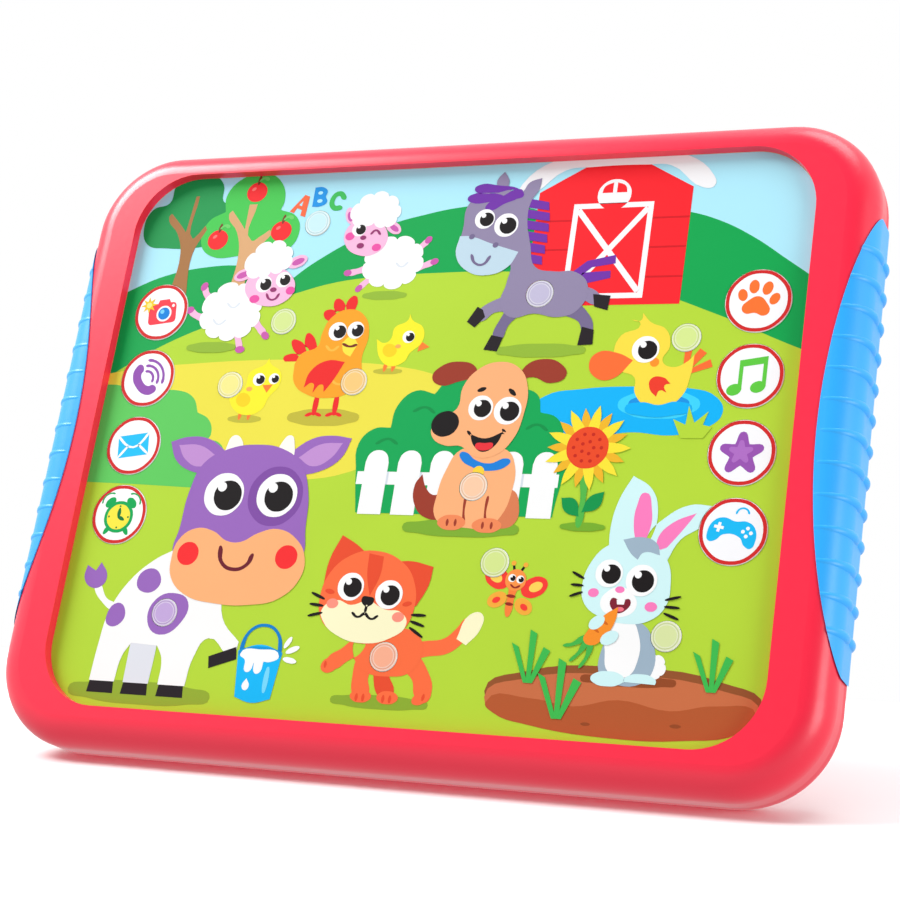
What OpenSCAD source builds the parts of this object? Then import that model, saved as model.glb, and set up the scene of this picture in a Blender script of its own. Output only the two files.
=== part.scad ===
// Kids toy tablet: two red case shells with ribbed side grips, a printed
// membrane keypad in front, and the sound board, speaker and battery bay behind.
// Every module draws lying down, X across, Y up the case and Z towards the
// child, and upright() then stands the piece on its lower edge, front to -Y.

/* [Case] */
// Width of the moulded case, without the grips
body_w = 247; // [200:1:300]
// Height of the case as it stands
body_h = 188; // [150:1:240]
// Thickness of the case
body_t = 24; // [23:0.5:32]
// Radius of the case corners seen from the front
corner_r = 26; // [22:1:32]
// Radius of the rounded edge round the front
front_edge_r = 8; // [6:0.5:9]
// Radius of the rounded edge round the back
back_edge_r = 9; // [6:0.5:9]
// Thickness of the side walls
wall = 3; // [2.6:0.1:4]
// Thickness of the back wall
back_wall = 2.6; // [2.4:0.1:3.2]
// How far behind the middle the two shells meet
part_back = 1; // [0:0.5:2]
// Height of the lip that locates the shells
lip_h = 1.8; // [1:0.1:3]
// Gap between pieces that fit into each other
fit_gap = 0.15; // [0.1:0.01:0.3]

/* [Window] */
// Width of the red border at each side of the window
side_border = 16.25; // [14:0.25:24]
// Width of the red border above the window
top_border = 8.6; // [7.5:0.1:20]
// Width of the red border below the window
bottom_border = 11.4; // [7.5:0.1:20]
// Radius of the window corners
window_r = 19; // [8:1:22]
// Depth of the window floor behind the red front
recess = 3.2; // [2.6:0.1:3.4]

/* [Grips] */
// Thickness of the soft grip skin
grip_skin = 1.4; // [1:0.1:1.5]
// How far the grip stands proud of the case
grip_proud = 0.4; // [0.2:0.1:0.8]
// Distance from the case edge to the grip's inner curve at mid height
grip_reach = 10.1; // [8:0.1:12]
// Distance from a grip's ends to the top and bottom edges of the case, on average
grip_end = 32; // [30:1:45]
// How far the grips' middle stands above the middle of the case
grip_rise = 2.4; // [0:0.1:3]
// Distance from a grip's ends to the nearest ribs, at least
rib_end = 9; // [8:1:16]
// Distance between ribs
rib_pitch = 8.7; // [7:0.1:9]
// How far a rib stands out at the side
rib_h = 0.9; // [0.6:0.1:1.6]
// Radius of a rib's rounded section
rib_r = 1.6; // [1:0.1:2]
// Radius of a rib's crest as it turns the case edge
rib_turn_r = 9.3; // [8:0.1:10]

/* [Keypad] */
// Thickness of the printed film
film_t = 0.5; // [0.3:0.1:0.8]
// How far the film tucks under the red border
film_tuck = 3; // [2:0.5:4]
// Radius of an icon key
key_r = 9.2; // [7:0.1:10]
// Distance from the window side to the middle of an icon key
key_inset = 13.85; // [11:0.05:18]
// Distance between icon keys
key_pitch = 21.65; // [20:0.05:24]
// Height of the icon columns' middle above the window's middle
key_rise = 6.5; // [-10:0.5:10]
// Radius of a touch spot
spot_r = 4.1; // [3.5:0.1:5]
// How far a key stands above the film
key_emboss = 0.25; // [0.1:0.05:0.4]
// Gap round a key
key_gap = 0.15; // [0.1:0.05:0.3]
// Thickness of the spacer under the film
spacer_t = 0.6; // [0.5:0.05:0.8]
// Thickness of the membrane circuit
membrane_t = 0.4; // [0.3:0.05:0.5]
// Thickness of the plate that backs the keypad
backing_t = 2; // [1.6:0.1:2.2]

/* [Battery bay] */
// Number of cells side by side
cell_count = 3; // [2:1:4]
// Radius of a cell
cell_r = 5.25; // [5.25:0.05:7.1]
// Length of a cell without its nub
cell_l = 43.7; // [42:0.1:50]
// Height of the bay's middle above the lower edge
bay_y = 52; // [45:1:60]
// Thickness of the battery door
door_t = 2; // [1.6:0.1:2.4]
// How far the door reaches past the bay
door_rim = 3.5; // [3:0.1:5]

/* [Sound] */
// Radius of the speaker
speaker_r = 20; // [16:0.5:22]
// Distance of the speaker from the case's middle line
speaker_x = 70; // [60:1:80]
// Height of the speaker above the lower edge
speaker_y = 60; // [50:1:70]
// Radius of a sound hole
sound_hole_r = 1.1; // [0.8:0.1:1.3]
// Width of the sound board
board_w = 70; // [64:1:80]
// Height of the sound board
board_h = 44; // [40:1:50]
// Height of the board's middle above the lower edge
board_y = 128; // [120:1:135]
// Thickness of the sound board
board_t = 1.6; // [1:0.1:1.6]
// Travel of the power switch
switch_travel = 6; // [4:0.5:7]

/* [Hidden] */
$fn = 96;

// Names of the icon keys, left column from the top, then the right column
ICON_NAMES = ["camera", "phone", "letter", "clock", "paw", "music", "star", "gamepad"];
// Touch spots: name, then place as parts of the picture's half width and half height
SPOTS = [
    ["abc", -0.42, 0.80], ["sheep", -0.47, 0.42], ["chick", -0.60, 0.18],
    ["hen", -0.22, 0.19], ["horse", 0.28, 0.505], ["duck", 0.695, 0.34],
    ["dog", 0.175, -0.18], ["cow", -0.665, -0.655], ["cat", 0, -0.765],
    ["butterfly", 0.265, -0.435], ["rabbit", 0.735, -0.65]
];

// Far past the case, for cutting tools
beyond = 40;
mid_y = body_h / 2;
front_z = body_t / 2;
back_z = -body_t / 2;
part_z = -part_back;
inner_back_z = back_z + back_wall;

// Radius of the edge inside the front shell
cavity_edge_r = 2.5;

// Window and picture
window_w = body_w - 2 * side_border;
window_h = body_h - top_border - bottom_border;
window_y = bottom_border + window_h / 2;
panel_z = front_z - recess;
film_z = panel_z - film_t;
spacer_z = film_z - spacer_t;
membrane_z = spacer_z - membrane_t;
backing_z = membrane_z - backing_t;

// Icon keys: place of key i, left column first
function icon_x(i) = (i < 4 ? -1 : 1) * (window_w / 2 - key_inset);
function icon_y(i) = window_y + key_rise + (1.5 - i % 4) * key_pitch;
function spot_x(i) = SPOTS[i][1] * window_w / 2;
function spot_y(i) = window_y + SPOTS[i][2] * window_h / 2;

// Grips: radius of the inner curve, and the ribs that fit along it
grip_l = body_h - 2 * grip_end;
grip_curve_r = (grip_l * grip_l / 4 + grip_reach * grip_reach) / (2 * grip_reach);
// How far a rib stands out at the front and back, before it turns the edge
rib_front = 0.08;
// Gap between a grip and the wall of its recess
grip_gap = 0.04;
grip_y = mid_y + grip_rise;
rib_count = floor((grip_l - 2 * rib_end) / rib_pitch) + 1;

// Screws: shank radius, head radius and head height, with the holes they need
screw_r = 1.3;
screw_head_r = 2.6;
screw_head_h = 1.8;
pilot_gap = 0.05;
post_r = 3.3;
sleeve_r = 4.4;
// Corner screws stand this far in from the case edges
case_screw_in = 12.3;
case_screw_up = 14.8;
// Height of the seat for the case screw heads above the back face
case_screw_seat = 6;
// Screws that join the rear cover to the keypad's backing plate
tie_screw_x = 62;
tie_screw_y = body_h - 40;
// Ears that hold the backing plate to the bezel
ear_x = body_w / 2 - 9;
ear_y = 40;
ear_r = 3.8;
ear_hole_r = 1.6;
panel_screw_l = 4.8;
// Stiffening ribs behind the backing plate
stiffener_up = 8;
stiffener_in = 20;
stiffener_short = 60;
stiffener_t = 1.4;
stiffener_h = 1.6;

// Battery bay
cell_gap = 0.5;
nub_r = 1.9;
nub_l = 0.8;
spring_l = 5.7;
spring_wire_r = 0.4;
spring_turns = 8;
plate_t = 0.4;
bay_wall = 1.6;
bay_l = cell_l + nub_l + spring_l + 2 * plate_t;
bay_w = cell_count * (2 * cell_r + cell_gap);
door_in_z = back_z + door_t;
cell_z = door_in_z + 0.3 + cell_r;
bay_roof_z = cell_z + cell_r + 0.4;
door_screw_room = 8;
door_w = bay_l + 2 * door_rim;
door_h = bay_w + 2 * door_rim + door_screw_room;
door_y = bay_y + door_screw_room / 2;
door_r = 3;
door_screw_y = bay_y + bay_w / 2 + bay_wall + 4;
tongue_w = 8;
tongue_l = 2;
tongue_x = bay_l / 4;
tab_w = 2.6;
tab_out = 5;

// Board and what stands on it
board_back_z = inner_back_z + 5;
board_front_z = board_back_z + board_t;
board_screw_in = 4;
tail_w = 14;
tail_t = 0.3;
tail_x = 16;
tail_y = board_y + 12;
connector_h = 5.2;
// Capacitors: across, up from the board's middle, radius and height
CAPACITORS = [[-26, 14, 3.2, 7], [-17, 14, 3.2, 7], [26, 3, 2.5, 6]];
// Small chip parts: across, up from the board's middle, width and height
CHIPS = [
    for (k = [0:4]) [-12 + 6 * k, -16, 1.6, 3.2],
    for (k = [0:2]) [14, -10 + 5 * k, 3.2, 1.6]
];
chip_h = 0.7;
crystal_h = 3;

// Power switch
switch_x = -20;
switch_y = board_y;
knob_w = 5;
knob_h = 6;
stem = 2.2;
switch_w = 14;
switch_h = 7;
flange_t = 0.8;
slide_gap = 0.1;

// Speaker, from the gasket inwards
gasket_t = 0.8;
speaker_flange_t = 1.2;
speaker_rim = 2.4;
basket_h = 4.1;
magnet_r = 11;
magnet_h = 5;
speaker_ring_t = 1.3;
speaker_ring_h = 1.9;
speaker_screw_r = speaker_r + 2.9;
sound_rings = 4;
sound_ring_step = 4.2;
wire_r = 0.7;
wire_sides = 8;
wire_steps = 5;

module upright() rotate([90, 0, 0]) children();

// Rounded rectangle centred on the origin
module round_rect(w, h, r) {
    square([w - 2 * r, h], center = true);
    square([w, h - 2 * r], center = true);
    for (sx = [-1, 1], sy = [-1, 1])
        translate([sx * (w / 2 - r), sy * (h / 2 - r)]) circle(r);
}

// Flat plate between two depths, centred at height y
module plate(w, h, r, y, z0, z1)
    translate([0, y, z0]) linear_extrude(z1 - z0) round_rect(w, h, r);

module block(x, y, w, h, z0, z1)
    translate([x - w / 2, y - h / 2, z0]) cube([w, h, z1 - z0]);

module rod(x, y, r, z0, z1) translate([x, y, z0]) cylinder(r = r, h = z1 - z0);

// Section through the rim of a rounded slab, from the corner's centre outwards
module rim_section(r, z0, z1, rf, rb) {
    translate([0, z0 + rb]) square([r, z1 - z0 - rf - rb]);
    translate([0, z0]) square([r - rb, rb]);
    translate([0, z1 - rf]) square([r - rf, rf]);
    translate([r - rf, z1 - rf]) circle(rf);
    translate([r - rb, z0 + rb]) circle(rb);
}

// Slab with round corners and rounded front and back edges
module slab(w, h, r, z0, z1, rf, rb) {
    translate([0, mid_y, 0]) {
        translate([-(w / 2 - r), -(h / 2 - r), z0]) cube([w - 2 * r, h - 2 * r, z1 - z0]);
        for (sx = [-1, 1], sy = [-1, 1])
            translate([sx * (w / 2 - r), sy * (h / 2 - r), 0])
                rotate_extrude() rim_section(r, z0, z1, rf, rb);
        for (s = [0, 1]) {
            mirror([0, s, 0]) translate([0, h / 2 - r, 0]) rotate([90, 0, 90])
                linear_extrude(w - 2 * r, center = true) rim_section(r, z0, z1, rf, rb);
            mirror([s, 0, 0]) translate([w / 2 - r, 0, 0]) rotate([90, 0, 0])
                linear_extrude(h - 2 * r, center = true) rim_section(r, z0, z1, rf, rb);
        }
    }
}

// The case's outer form, moved in by a distance all over
module case_form(in)
    slab(body_w - 2 * in, body_h - 2 * in, corner_r - in,
        back_z + in, front_z - in, front_edge_r - in, back_edge_r - in);

// Straight run of the case's side, moved in by a distance; side is -1 or 1
module side_run(side, in)
    translate([side * (body_w / 2 - corner_r), grip_y, 0]) mirror([(1 - side) / 2, 0, 0]) rotate([90, 0, 0])
        linear_extrude(grip_l + 4, center = true)
            rim_section(corner_r - in, back_z + in, front_z - in, front_edge_r - in, back_edge_r - in);

// Everything past the curve that bounds a grip
module grip_zone(side, gap)
    translate([side * (body_w / 2 - grip_reach + grip_curve_r), grip_y, -beyond])
        cylinder(r = grip_curve_r - gap, h = 2 * beyond, $fn = 360);

module grip_recess(side)
    difference() {
        intersection() {
            grip_zone(side, 0);
            block(side * body_w / 2, grip_y, 2 * grip_reach + 4, grip_l + 2, -beyond, beyond);
        }
        side_run(side, grip_skin);
    }

// Ring of wall between two insets from the case edge
module inset_ring(a, b, z0, z1)
    difference() {
        plate(body_w - 2 * a, body_h - 2 * a, corner_r - a, mid_y, z0, z1);
        plate(body_w - 2 * b, body_h - 2 * b, corner_r - b, mid_y, z0 - 1, z1 + 1);
    }

module at_case_screws() {
    at_corner_screws() children();
    at_tie_screws() children();
}

module at_corner_screws()
    for (sx = [-1, 1], y = [case_screw_up, body_h - case_screw_up])
        translate([sx * (body_w / 2 - case_screw_in), y, 0]) children();

module at_tie_screws()
    for (sx = [-1, 1]) translate([sx * tie_screw_x, tie_screw_y, 0]) children();

module at_ears()
    for (sx = [-1, 1], sy = [-1, 1]) translate([sx * ear_x, mid_y + sy * ear_y, 0]) children();

module at_board_screws()
    for (sx = [-1, 1], sy = [-1, 1])
        translate([sx * (board_w / 2 - board_screw_in), board_y + sy * (board_h / 2 - board_screw_in), 0])
            children();

module at_speaker_screws()
    for (a = [90, 210, 330])
        translate([speaker_x, speaker_y, 0]) rotate(a) translate([speaker_screw_r, 0, 0]) children();

module pan_screw(head_z, tip_z, up) {
    // The head lies behind head_z, on the side away from the tip
    translate([0, 0, up ? head_z - screw_head_h : head_z])
        cylinder(r = screw_head_r, h = screw_head_h);
    translate([0, 0, min(head_z, tip_z)]) cylinder(r = screw_r, h = abs(head_z - tip_z));
}

module front_bezel() upright() color([0.97, 0.16, 0.28]) {
    post_z = part_z + 1;
    difference() {
        union() {
            difference() {
                intersection() {
                    case_form(0);
                    block(0, mid_y, body_w + 2, body_h + 2, part_z, front_z + 1);
                }
                slab(body_w - 2 * wall, body_h - 2 * wall, corner_r - wall,
                    -front_z, panel_z, cavity_edge_r, cavity_edge_r);
                plate(window_w, window_h, window_r, window_y, panel_z - 1, front_z + 1);
            }
            at_corner_screws() translate([0, 0, post_z]) cylinder(r = post_r, h = panel_z + 0.5 - post_z);
            at_ears() translate([0, 0, membrane_z]) cylinder(r = post_r, h = panel_z + 0.5 - membrane_z);
        }
        at_corner_screws() translate([0, 0, post_z - 1])
            cylinder(r = screw_r + pilot_gap, h = panel_z - post_z);
        at_ears() translate([0, 0, membrane_z - 1])
            cylinder(r = screw_r + pilot_gap, h = panel_screw_l - backing_t + 1.4);
        for (side = [-1, 1]) grip_recess(side);
    }
}

module rear_cover() upright() color([0.93, 0.14, 0.26]) {
    difference() {
        union() {
            difference() {
                intersection() {
                    case_form(0);
                    block(0, mid_y, body_w + 2, body_h + 2, back_z - 1, part_z);
                }
                slab(body_w - 2 * wall, body_h - 2 * wall, corner_r - wall,
                    inner_back_z, front_z, back_edge_r - wall, back_edge_r - wall);
            }
            inset_ring(wall - 1, wall + fit_gap + 1.2, part_z - 3, part_z);
            inset_ring(wall + fit_gap, wall + fit_gap + 1.2, part_z - 1, part_z + lip_h);
            // Battery bay and the seat for its door
            block(0, bay_y, bay_l + 2 * bay_wall, bay_w + 2 * bay_wall, inner_back_z - 0.5, bay_roof_z + bay_wall);
            plate(door_w + 4, door_h + 4, door_r, door_y, inner_back_z - 0.5, door_in_z + 2);
            rod(0, door_screw_y, post_r + 0.4, inner_back_z - 0.5, cell_z);
            // Sleeves for the case screws
            at_case_screws() translate([0, 0, inner_back_z - 0.5])
                cylinder(r = sleeve_r, h = part_z + 1 - pilot_gap - inner_back_z + 0.5);
            // Posts under the board
            at_board_screws() translate([0, 0, inner_back_z - 0.5])
                cylinder(r = post_r, h = board_back_z - inner_back_z + 0.5);
            // Ring and posts round the speaker
            difference() {
                rod(speaker_x, speaker_y, speaker_r + 0.2 + speaker_ring_t, inner_back_z - 0.5, inner_back_z + speaker_ring_h);
                rod(speaker_x, speaker_y, speaker_r + 0.2, inner_back_z - 1, inner_back_z + speaker_ring_h + 1);
            }
            intersection() {
                at_speaker_screws() translate([0, 0, inner_back_z - 0.5])
                    cylinder(r = 2.6, h = gasket_t + speaker_flange_t + 0.5);
                difference() {
                    rod(speaker_x, speaker_y, speaker_r + 8, inner_back_z - 1, inner_back_z + 4);
                    rod(speaker_x, speaker_y, speaker_r + 0.2, inner_back_z - 2, inner_back_z + 5);
                }
            }
        }
        for (side = [-1, 1]) grip_recess(side);
        // Inside of the battery bay, the door's place and its screw hole
        block(0, bay_y, bay_l, bay_w, back_z - 1, bay_roof_z);
        plate(door_w + 2 * fit_gap, door_h + 2 * fit_gap, door_r + fit_gap, door_y, back_z - 1, door_in_z);
        for (sx = [-1, 1])
            block(sx * tongue_x, door_y - door_h / 2 - tongue_l / 2, tongue_w + 2 * fit_gap,
                tongue_l + 2 * fit_gap, back_z - 1, door_in_z);
        rod(0, door_screw_y, screw_r + pilot_gap, back_z, cell_z - 1);
        // Slits for the contact tabs
        for (sx = [-1, 1])
            block(sx * (bay_l / 2 - plate_t / 2), bay_y + bay_w / 2 + bay_wall / 2,
                plate_t + 2 * slide_gap, bay_wall + 1,
                cell_z - tab_w / 2 - slide_gap, cell_z + tab_w / 2 + slide_gap);
        // Case screws
        at_case_screws() {
            translate([0, 0, back_z - 1]) cylinder(r = screw_head_r + 0.3, h = case_screw_seat + 1);
            translate([0, 0, back_z]) cylinder(r = ear_hole_r, h = body_t);
        }
        at_board_screws() translate([0, 0, inner_back_z])
            cylinder(r = screw_r + pilot_gap, h = board_back_z - inner_back_z + 1);
        at_speaker_screws() translate([0, 0, inner_back_z - 0.8])
            cylinder(r = screw_r + pilot_gap, h = 4);
        // Sound holes
        for (ring = [0:sound_rings - 1], k = [0:max(0, 6 * ring - 1)])
            translate([speaker_x, speaker_y, back_z - 1]) rotate(k * 60 / max(ring, 1))
                translate([sound_ring_step * ring, 0, 0]) cylinder(r = sound_hole_r, h = back_wall + 2, $fn = 24);
        // Slot for the switch knob
        block(switch_x, switch_y, knob_w + switch_travel + 4 * slide_gap, knob_h + 4 * slide_gap,
            back_z - 1, inner_back_z + 1);
    }
}

module rib(side, y) {
    crest_x = body_w / 2 + grip_proud + rib_h;
    turn_x = side * (crest_x - rib_turn_r);
    turn_z = front_z + grip_proud + rib_front - rib_turn_r;
    for (s = [-1, 1])
        translate([turn_x, y, s * turn_z]) rotate([90, 0, 0]) rotate_extrude()
            translate([rib_turn_r - rib_r, 0]) circle(rib_r, $fn = 32);
    translate([side * (crest_x - rib_r), y, -turn_z]) cylinder(r = rib_r, h = 2 * turn_z, $fn = 32);
}

module grip(side)
    intersection() {
        grip_zone(side, grip_gap);
        difference() {
            union() {
                side_run(side, -grip_proud);
                for (i = [0:rib_count - 1]) rib(side, grip_y + (i - (rib_count - 1) / 2) * rib_pitch);
            }
            side_run(side, grip_skin - 0.05);
        }
    }

module grip_left() upright() color([0.22, 0.68, 0.98]) grip(-1);
module grip_right() upright() color([0.22, 0.68, 0.98]) mirror([1, 0, 0]) grip(-1);

// Sheet of the film's outline
module keypad_sheet(in, z0, z1)
    plate(window_w + 2 * (film_tuck - in), window_h + 2 * (film_tuck - in), window_r + film_tuck - in,
        window_y, z0, z1);

module key_holes(gap, z0, z1) {
    for (i = [0:len(ICON_NAMES) - 1]) rod(icon_x(i), icon_y(i), key_r + gap, z0, z1);
    for (i = [0:len(SPOTS) - 1]) rod(spot_x(i), spot_y(i), spot_r + gap, z0, z1);
}

module graphic_overlay() upright() color([0.73, 0.87, 0.25])
    difference() {
        keypad_sheet(0, film_z, panel_z);
        key_holes(key_gap, film_z - 1, panel_z + 1);
    }

module spacer_sheet() upright() color([0.92, 0.92, 0.88])
    difference() {
        keypad_sheet(0, spacer_z, film_z);
        key_holes(2 * key_gap, spacer_z - 1, film_z + 1);
    }

module membrane_circuit() upright() color([0.75, 0.85, 0.82]) {
    keypad_sheet(1, membrane_z, spacer_z);
    block(tail_x, tail_y, tail_w, tail_t, board_front_z + 1.4, membrane_z + 0.1);
}

module backing_plate() upright() color([0.9, 0.9, 0.9])
    difference() {
        union() {
            keypad_sheet(0, backing_z, membrane_z);
            at_ears() {
                translate([0, 0, backing_z]) cylinder(r = ear_r, h = backing_t);
            }
            for (sx = [-1, 1], sy = [-1, 1])
                block(sx * (ear_x - 4), mid_y + sy * ear_y, 8, 2 * ear_r, backing_z, membrane_z);
            at_tie_screws() translate([0, 0, part_z + 1]) cylinder(r = post_r, h = backing_z - part_z);
            // Stiffening ribs
            for (sy = [-1, 1])
                block(0, mid_y + sy * (window_h / 2 - stiffener_up), window_w - stiffener_short, stiffener_t,
                    backing_z - stiffener_h, backing_z + 0.5);
            for (sx = [-1, 1])
                block(sx * (window_w / 2 - stiffener_in), mid_y, stiffener_t, window_h - stiffener_short,
                    backing_z - stiffener_h, backing_z + 0.5);
        }
        at_ears() translate([0, 0, backing_z - 1]) cylinder(r = ear_hole_r, h = backing_t + 2);
        at_tie_screws() translate([0, 0, part_z]) cylinder(r = screw_r + pilot_gap, h = backing_z - part_z);
        block(tail_x, tail_y, tail_w + 2, 3, backing_z - 1, membrane_z + 1);
    }

module icon_key(i) upright() color("white") translate([icon_x(i), icon_y(i), film_z]) {
    cylinder(r = key_r, h = film_t);
    translate([0, 0, film_t]) cylinder(r1 = key_r, r2 = key_r - key_emboss, h = key_emboss);
}

module spot_key(i) upright() color([0.9, 0.95, 0.7]) translate([spot_x(i), spot_y(i), film_z]) {
    cylinder(r = spot_r, h = film_t);
    translate([0, 0, film_t]) cylinder(r1 = spot_r, r2 = spot_r - key_emboss, h = key_emboss);
}

module sound_board() upright() color([0.1, 0.45, 0.2])
    difference() {
        plate(board_w, board_h, 2, board_y, board_back_z, board_front_z);
        at_board_screws() translate([0, 0, board_back_z - 1]) cylinder(r = ear_hole_r, h = board_t + 2);
    }

module sound_chip() upright() color([0.08, 0.08, 0.08])
    intersection() {
        translate([-4, board_y - 4, board_front_z - 9.8]) sphere(12);
        block(-4, board_y - 4, 20, 20, board_front_z, board_front_z + 4);
    }

module board_parts() upright() color([0.2, 0.2, 0.25]) {
    for (c = CAPACITORS) rod(c[0], board_y + c[1], c[2], board_front_z, board_front_z + c[3]);
    for (c = CHIPS) block(c[0], board_y + c[1], c[2], c[3], board_front_z, board_front_z + chip_h);
    block(-24, board_y - 2, 8, 4, board_front_z, board_front_z + crystal_h);
}

module tail_connector() upright() color([0.95, 0.95, 0.9])
    difference() {
        block(tail_x, tail_y, tail_w + 5, 5, board_front_z, board_front_z + connector_h);
        block(tail_x, tail_y, tail_w + 2 * slide_gap, tail_t + 2 * slide_gap,
            board_front_z + 1, board_front_z + connector_h + 1);
    }

module switch_body() upright() color([0.75, 0.75, 0.78])
    difference() {
        block(switch_x, switch_y, switch_w, switch_h, inner_back_z + flange_t + 2 * slide_gap, board_back_z);
        block(switch_x, switch_y, stem + switch_travel + 4 * slide_gap, stem + 2 * slide_gap,
            inner_back_z, board_back_z - 1);
    }

module switch_knob() upright() color([0.12, 0.12, 0.14]) {
    x = switch_x - switch_travel / 2;
    flange_z = inner_back_z + slide_gap;
    difference() {
        block(x, switch_y, knob_w, knob_h, back_z - 0.3, flange_z + 0.1);
        for (k = [-1:1]) block(x + 1.4 * k, switch_y, 0.6, knob_h + 1, back_z - 0.4, back_z + 0.2);
    }
    block(x, switch_y, knob_w + 2, knob_h + 2, flange_z, flange_z + flange_t);
    block(x, switch_y, stem, stem, flange_z + flange_t - 0.1, board_back_z - 1 - slide_gap);
}

module at_speaker() translate([speaker_x, speaker_y, inner_back_z + gasket_t]) children();

module speaker_frame() upright() color([0.7, 0.7, 0.72]) at_speaker()
    difference() {
        union() {
            cylinder(r = speaker_r, h = speaker_flange_t);
            translate([0, 0, speaker_flange_t])
                cylinder(r1 = speaker_r - 1.5, r2 = magnet_r + 1, h = basket_h);
        }
        translate([0, 0, -1]) cylinder(r = speaker_r - speaker_rim, h = speaker_flange_t + 1);
        translate([0, 0, speaker_flange_t - 0.01])
            cylinder(r1 = speaker_r - speaker_rim, r2 = magnet_r, h = basket_h - 0.8);
    }

module speaker_cone() upright() color([0.15, 0.14, 0.13]) at_speaker() {
    rotate_extrude() polygon([
        [speaker_r - speaker_rim, 0.4], [speaker_r - speaker_rim, 0.8], [speaker_r - speaker_rim - 1, 1],
        [6, 2.8], [0, 2.8], [0, 2.4], [6, 2.4], [speaker_r - speaker_rim - 1.4, 0.4]
    ]);
    intersection() {
        translate([0, 0, 2.6 + 4]) sphere(6);
        translate([0, 0, 0.4]) cylinder(r = 7, h = 2.2);
    }
}

module speaker_magnet() upright() color([0.3, 0.3, 0.32]) at_speaker()
    translate([0, 0, speaker_flange_t + basket_h]) {
        cylinder(r = magnet_r, h = magnet_h);
        cylinder(r = magnet_r - 2, h = magnet_h + 1);
    }

module speaker_gasket() upright() color([0.2, 0.2, 0.2]) at_speaker()
    translate([0, 0, -gasket_t]) difference() {
        cylinder(r = speaker_r, h = gasket_t);
        translate([0, 0, -1]) cylinder(r = speaker_r - speaker_rim - 0.6, h = gasket_t + 2);
    }

function cell_y(i) = bay_y + (i - (cell_count - 1) / 2) * (2 * cell_r + cell_gap);

// One end of the bay for cell i: the cells alternate, so the springs do too
module at_cell(i)
    translate([0, cell_y(i), cell_z]) mirror([i % 2, 0, 0]) rotate([0, 90, 0]) children();

module battery_cells() upright() color([0.25, 0.3, 0.35])
    for (i = [0:cell_count - 1]) at_cell(i) {
        translate([0, 0, -bay_l / 2 + plate_t + spring_l]) cylinder(r = cell_r, h = cell_l);
        translate([0, 0, bay_l / 2 - plate_t - nub_l]) cylinder(r = nub_r, h = nub_l);
    }

module contact_plates() upright() color([0.8, 0.8, 0.82])
    for (sx = [-1, 1]) {
        block(sx * (bay_l / 2 - plate_t / 2), bay_y, plate_t, bay_w - 0.6, cell_z - 4, cell_z + 4);
        block(sx * (bay_l / 2 - plate_t / 2), bay_y + bay_w / 2 + tab_out / 2 - 1, plate_t, tab_out + 2,
            cell_z - tab_w / 2, cell_z + tab_w / 2);
    }

module contact_springs() upright() color([0.85, 0.85, 0.88])
    for (i = [0:cell_count - 1]) at_cell(i)
        for (k = [0:spring_turns - 1])
            translate([0, 0, -bay_l / 2 + plate_t + spring_wire_r
                + k * (spring_l - 2 * spring_wire_r) / (spring_turns - 1)])
                rotate_extrude($fn = 48) translate([3.8 - 0.22 * k, 0]) circle(spring_wire_r, $fn = 16);

module battery_door() upright() color([0.93, 0.14, 0.26])
    difference() {
        union() {
            plate(door_w, door_h, door_r, door_y, back_z, door_in_z);
            for (sx = [-1, 1])
                block(sx * tongue_x, door_y - door_h / 2 - tongue_l / 2 + 0.5, tongue_w, tongue_l + 1,
                    back_z, door_in_z);
        }
        rod(0, door_screw_y, ear_hole_r, back_z - 1, door_in_z + 1);
        rod(0, door_screw_y, screw_head_r + 0.3, back_z - 1, back_z + door_t / 2);
        // Finger grooves
        for (k = [0:3]) block(0, door_y - door_h / 2 + 4 + 2 * k, 16, 0.8, back_z - 1, back_z + 0.5);
    }

module door_screw() upright() color([0.6, 0.6, 0.62]) translate([0, door_screw_y, 0])
    difference() {
        union() {
            translate([0, 0, back_z + 0.1]) cylinder(r = screw_head_r, h = door_t / 2 - 0.1);
            translate([0, 0, back_z + door_t / 2]) cylinder(r = screw_r, h = cell_z - 2 - door_in_z);
        }
        for (a = [0, 90]) rotate(a) translate([-1.5, -0.3, back_z]) cube([3, 0.6, 0.6]);
    }

// Point on a smooth curve through a list of points, u counted in points
function unit(v) = v / norm(v);
function held(p, i) = p[max(0, min(len(p) - 1, i))];
function curve(p, u) =
    let (i = min(floor(u), len(p) - 2), t = u - i,
        a = held(p, i - 1), b = p[i], c = p[i + 1], d = held(p, i + 2))
    (2 * b + (c - a) * t + (2 * a - 5 * b + 4 * c - d) * t * t + (3 * b - a - 3 * c + d) * t * t * t) / 2;
function heading(p, u) = unit(curve(p, min(u + 0.05, len(p) - 1)) - curve(p, max(u - 0.05, 0)));

// Round wire along that curve
module wire(points) {
    rings = wire_steps * (len(points) - 1);
    skin = [for (k = [0:rings])
        let (u = k / wire_steps, t = heading(points, u), n = unit(cross(t, [1, 0, 0])), b = cross(t, n))
        for (j = [0:wire_sides - 1])
            curve(points, u) + wire_r * (cos(j * 360 / wire_sides) * n + sin(j * 360 / wire_sides) * b)];
    sides = [for (k = [0:rings - 1], j = [0:wire_sides - 1])
        let (m = (j + 1) % wire_sides, o = k * wire_sides, q = o + wire_sides)
        each [[o + j, q + j, q + m], [o + j, q + m, o + m]]];
    ends = [
        [for (j = [0:wire_sides - 1]) j],
        [for (j = [wire_sides - 1:-1:0]) rings * wire_sides + j]
    ];
    polyhedron(skin, concat(sides, ends));
}

wire_end_z = board_front_z + wire_r + 0.1;
tab_end_y = bay_y + bay_w / 2 + tab_out + wire_r + 0.1;

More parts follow.
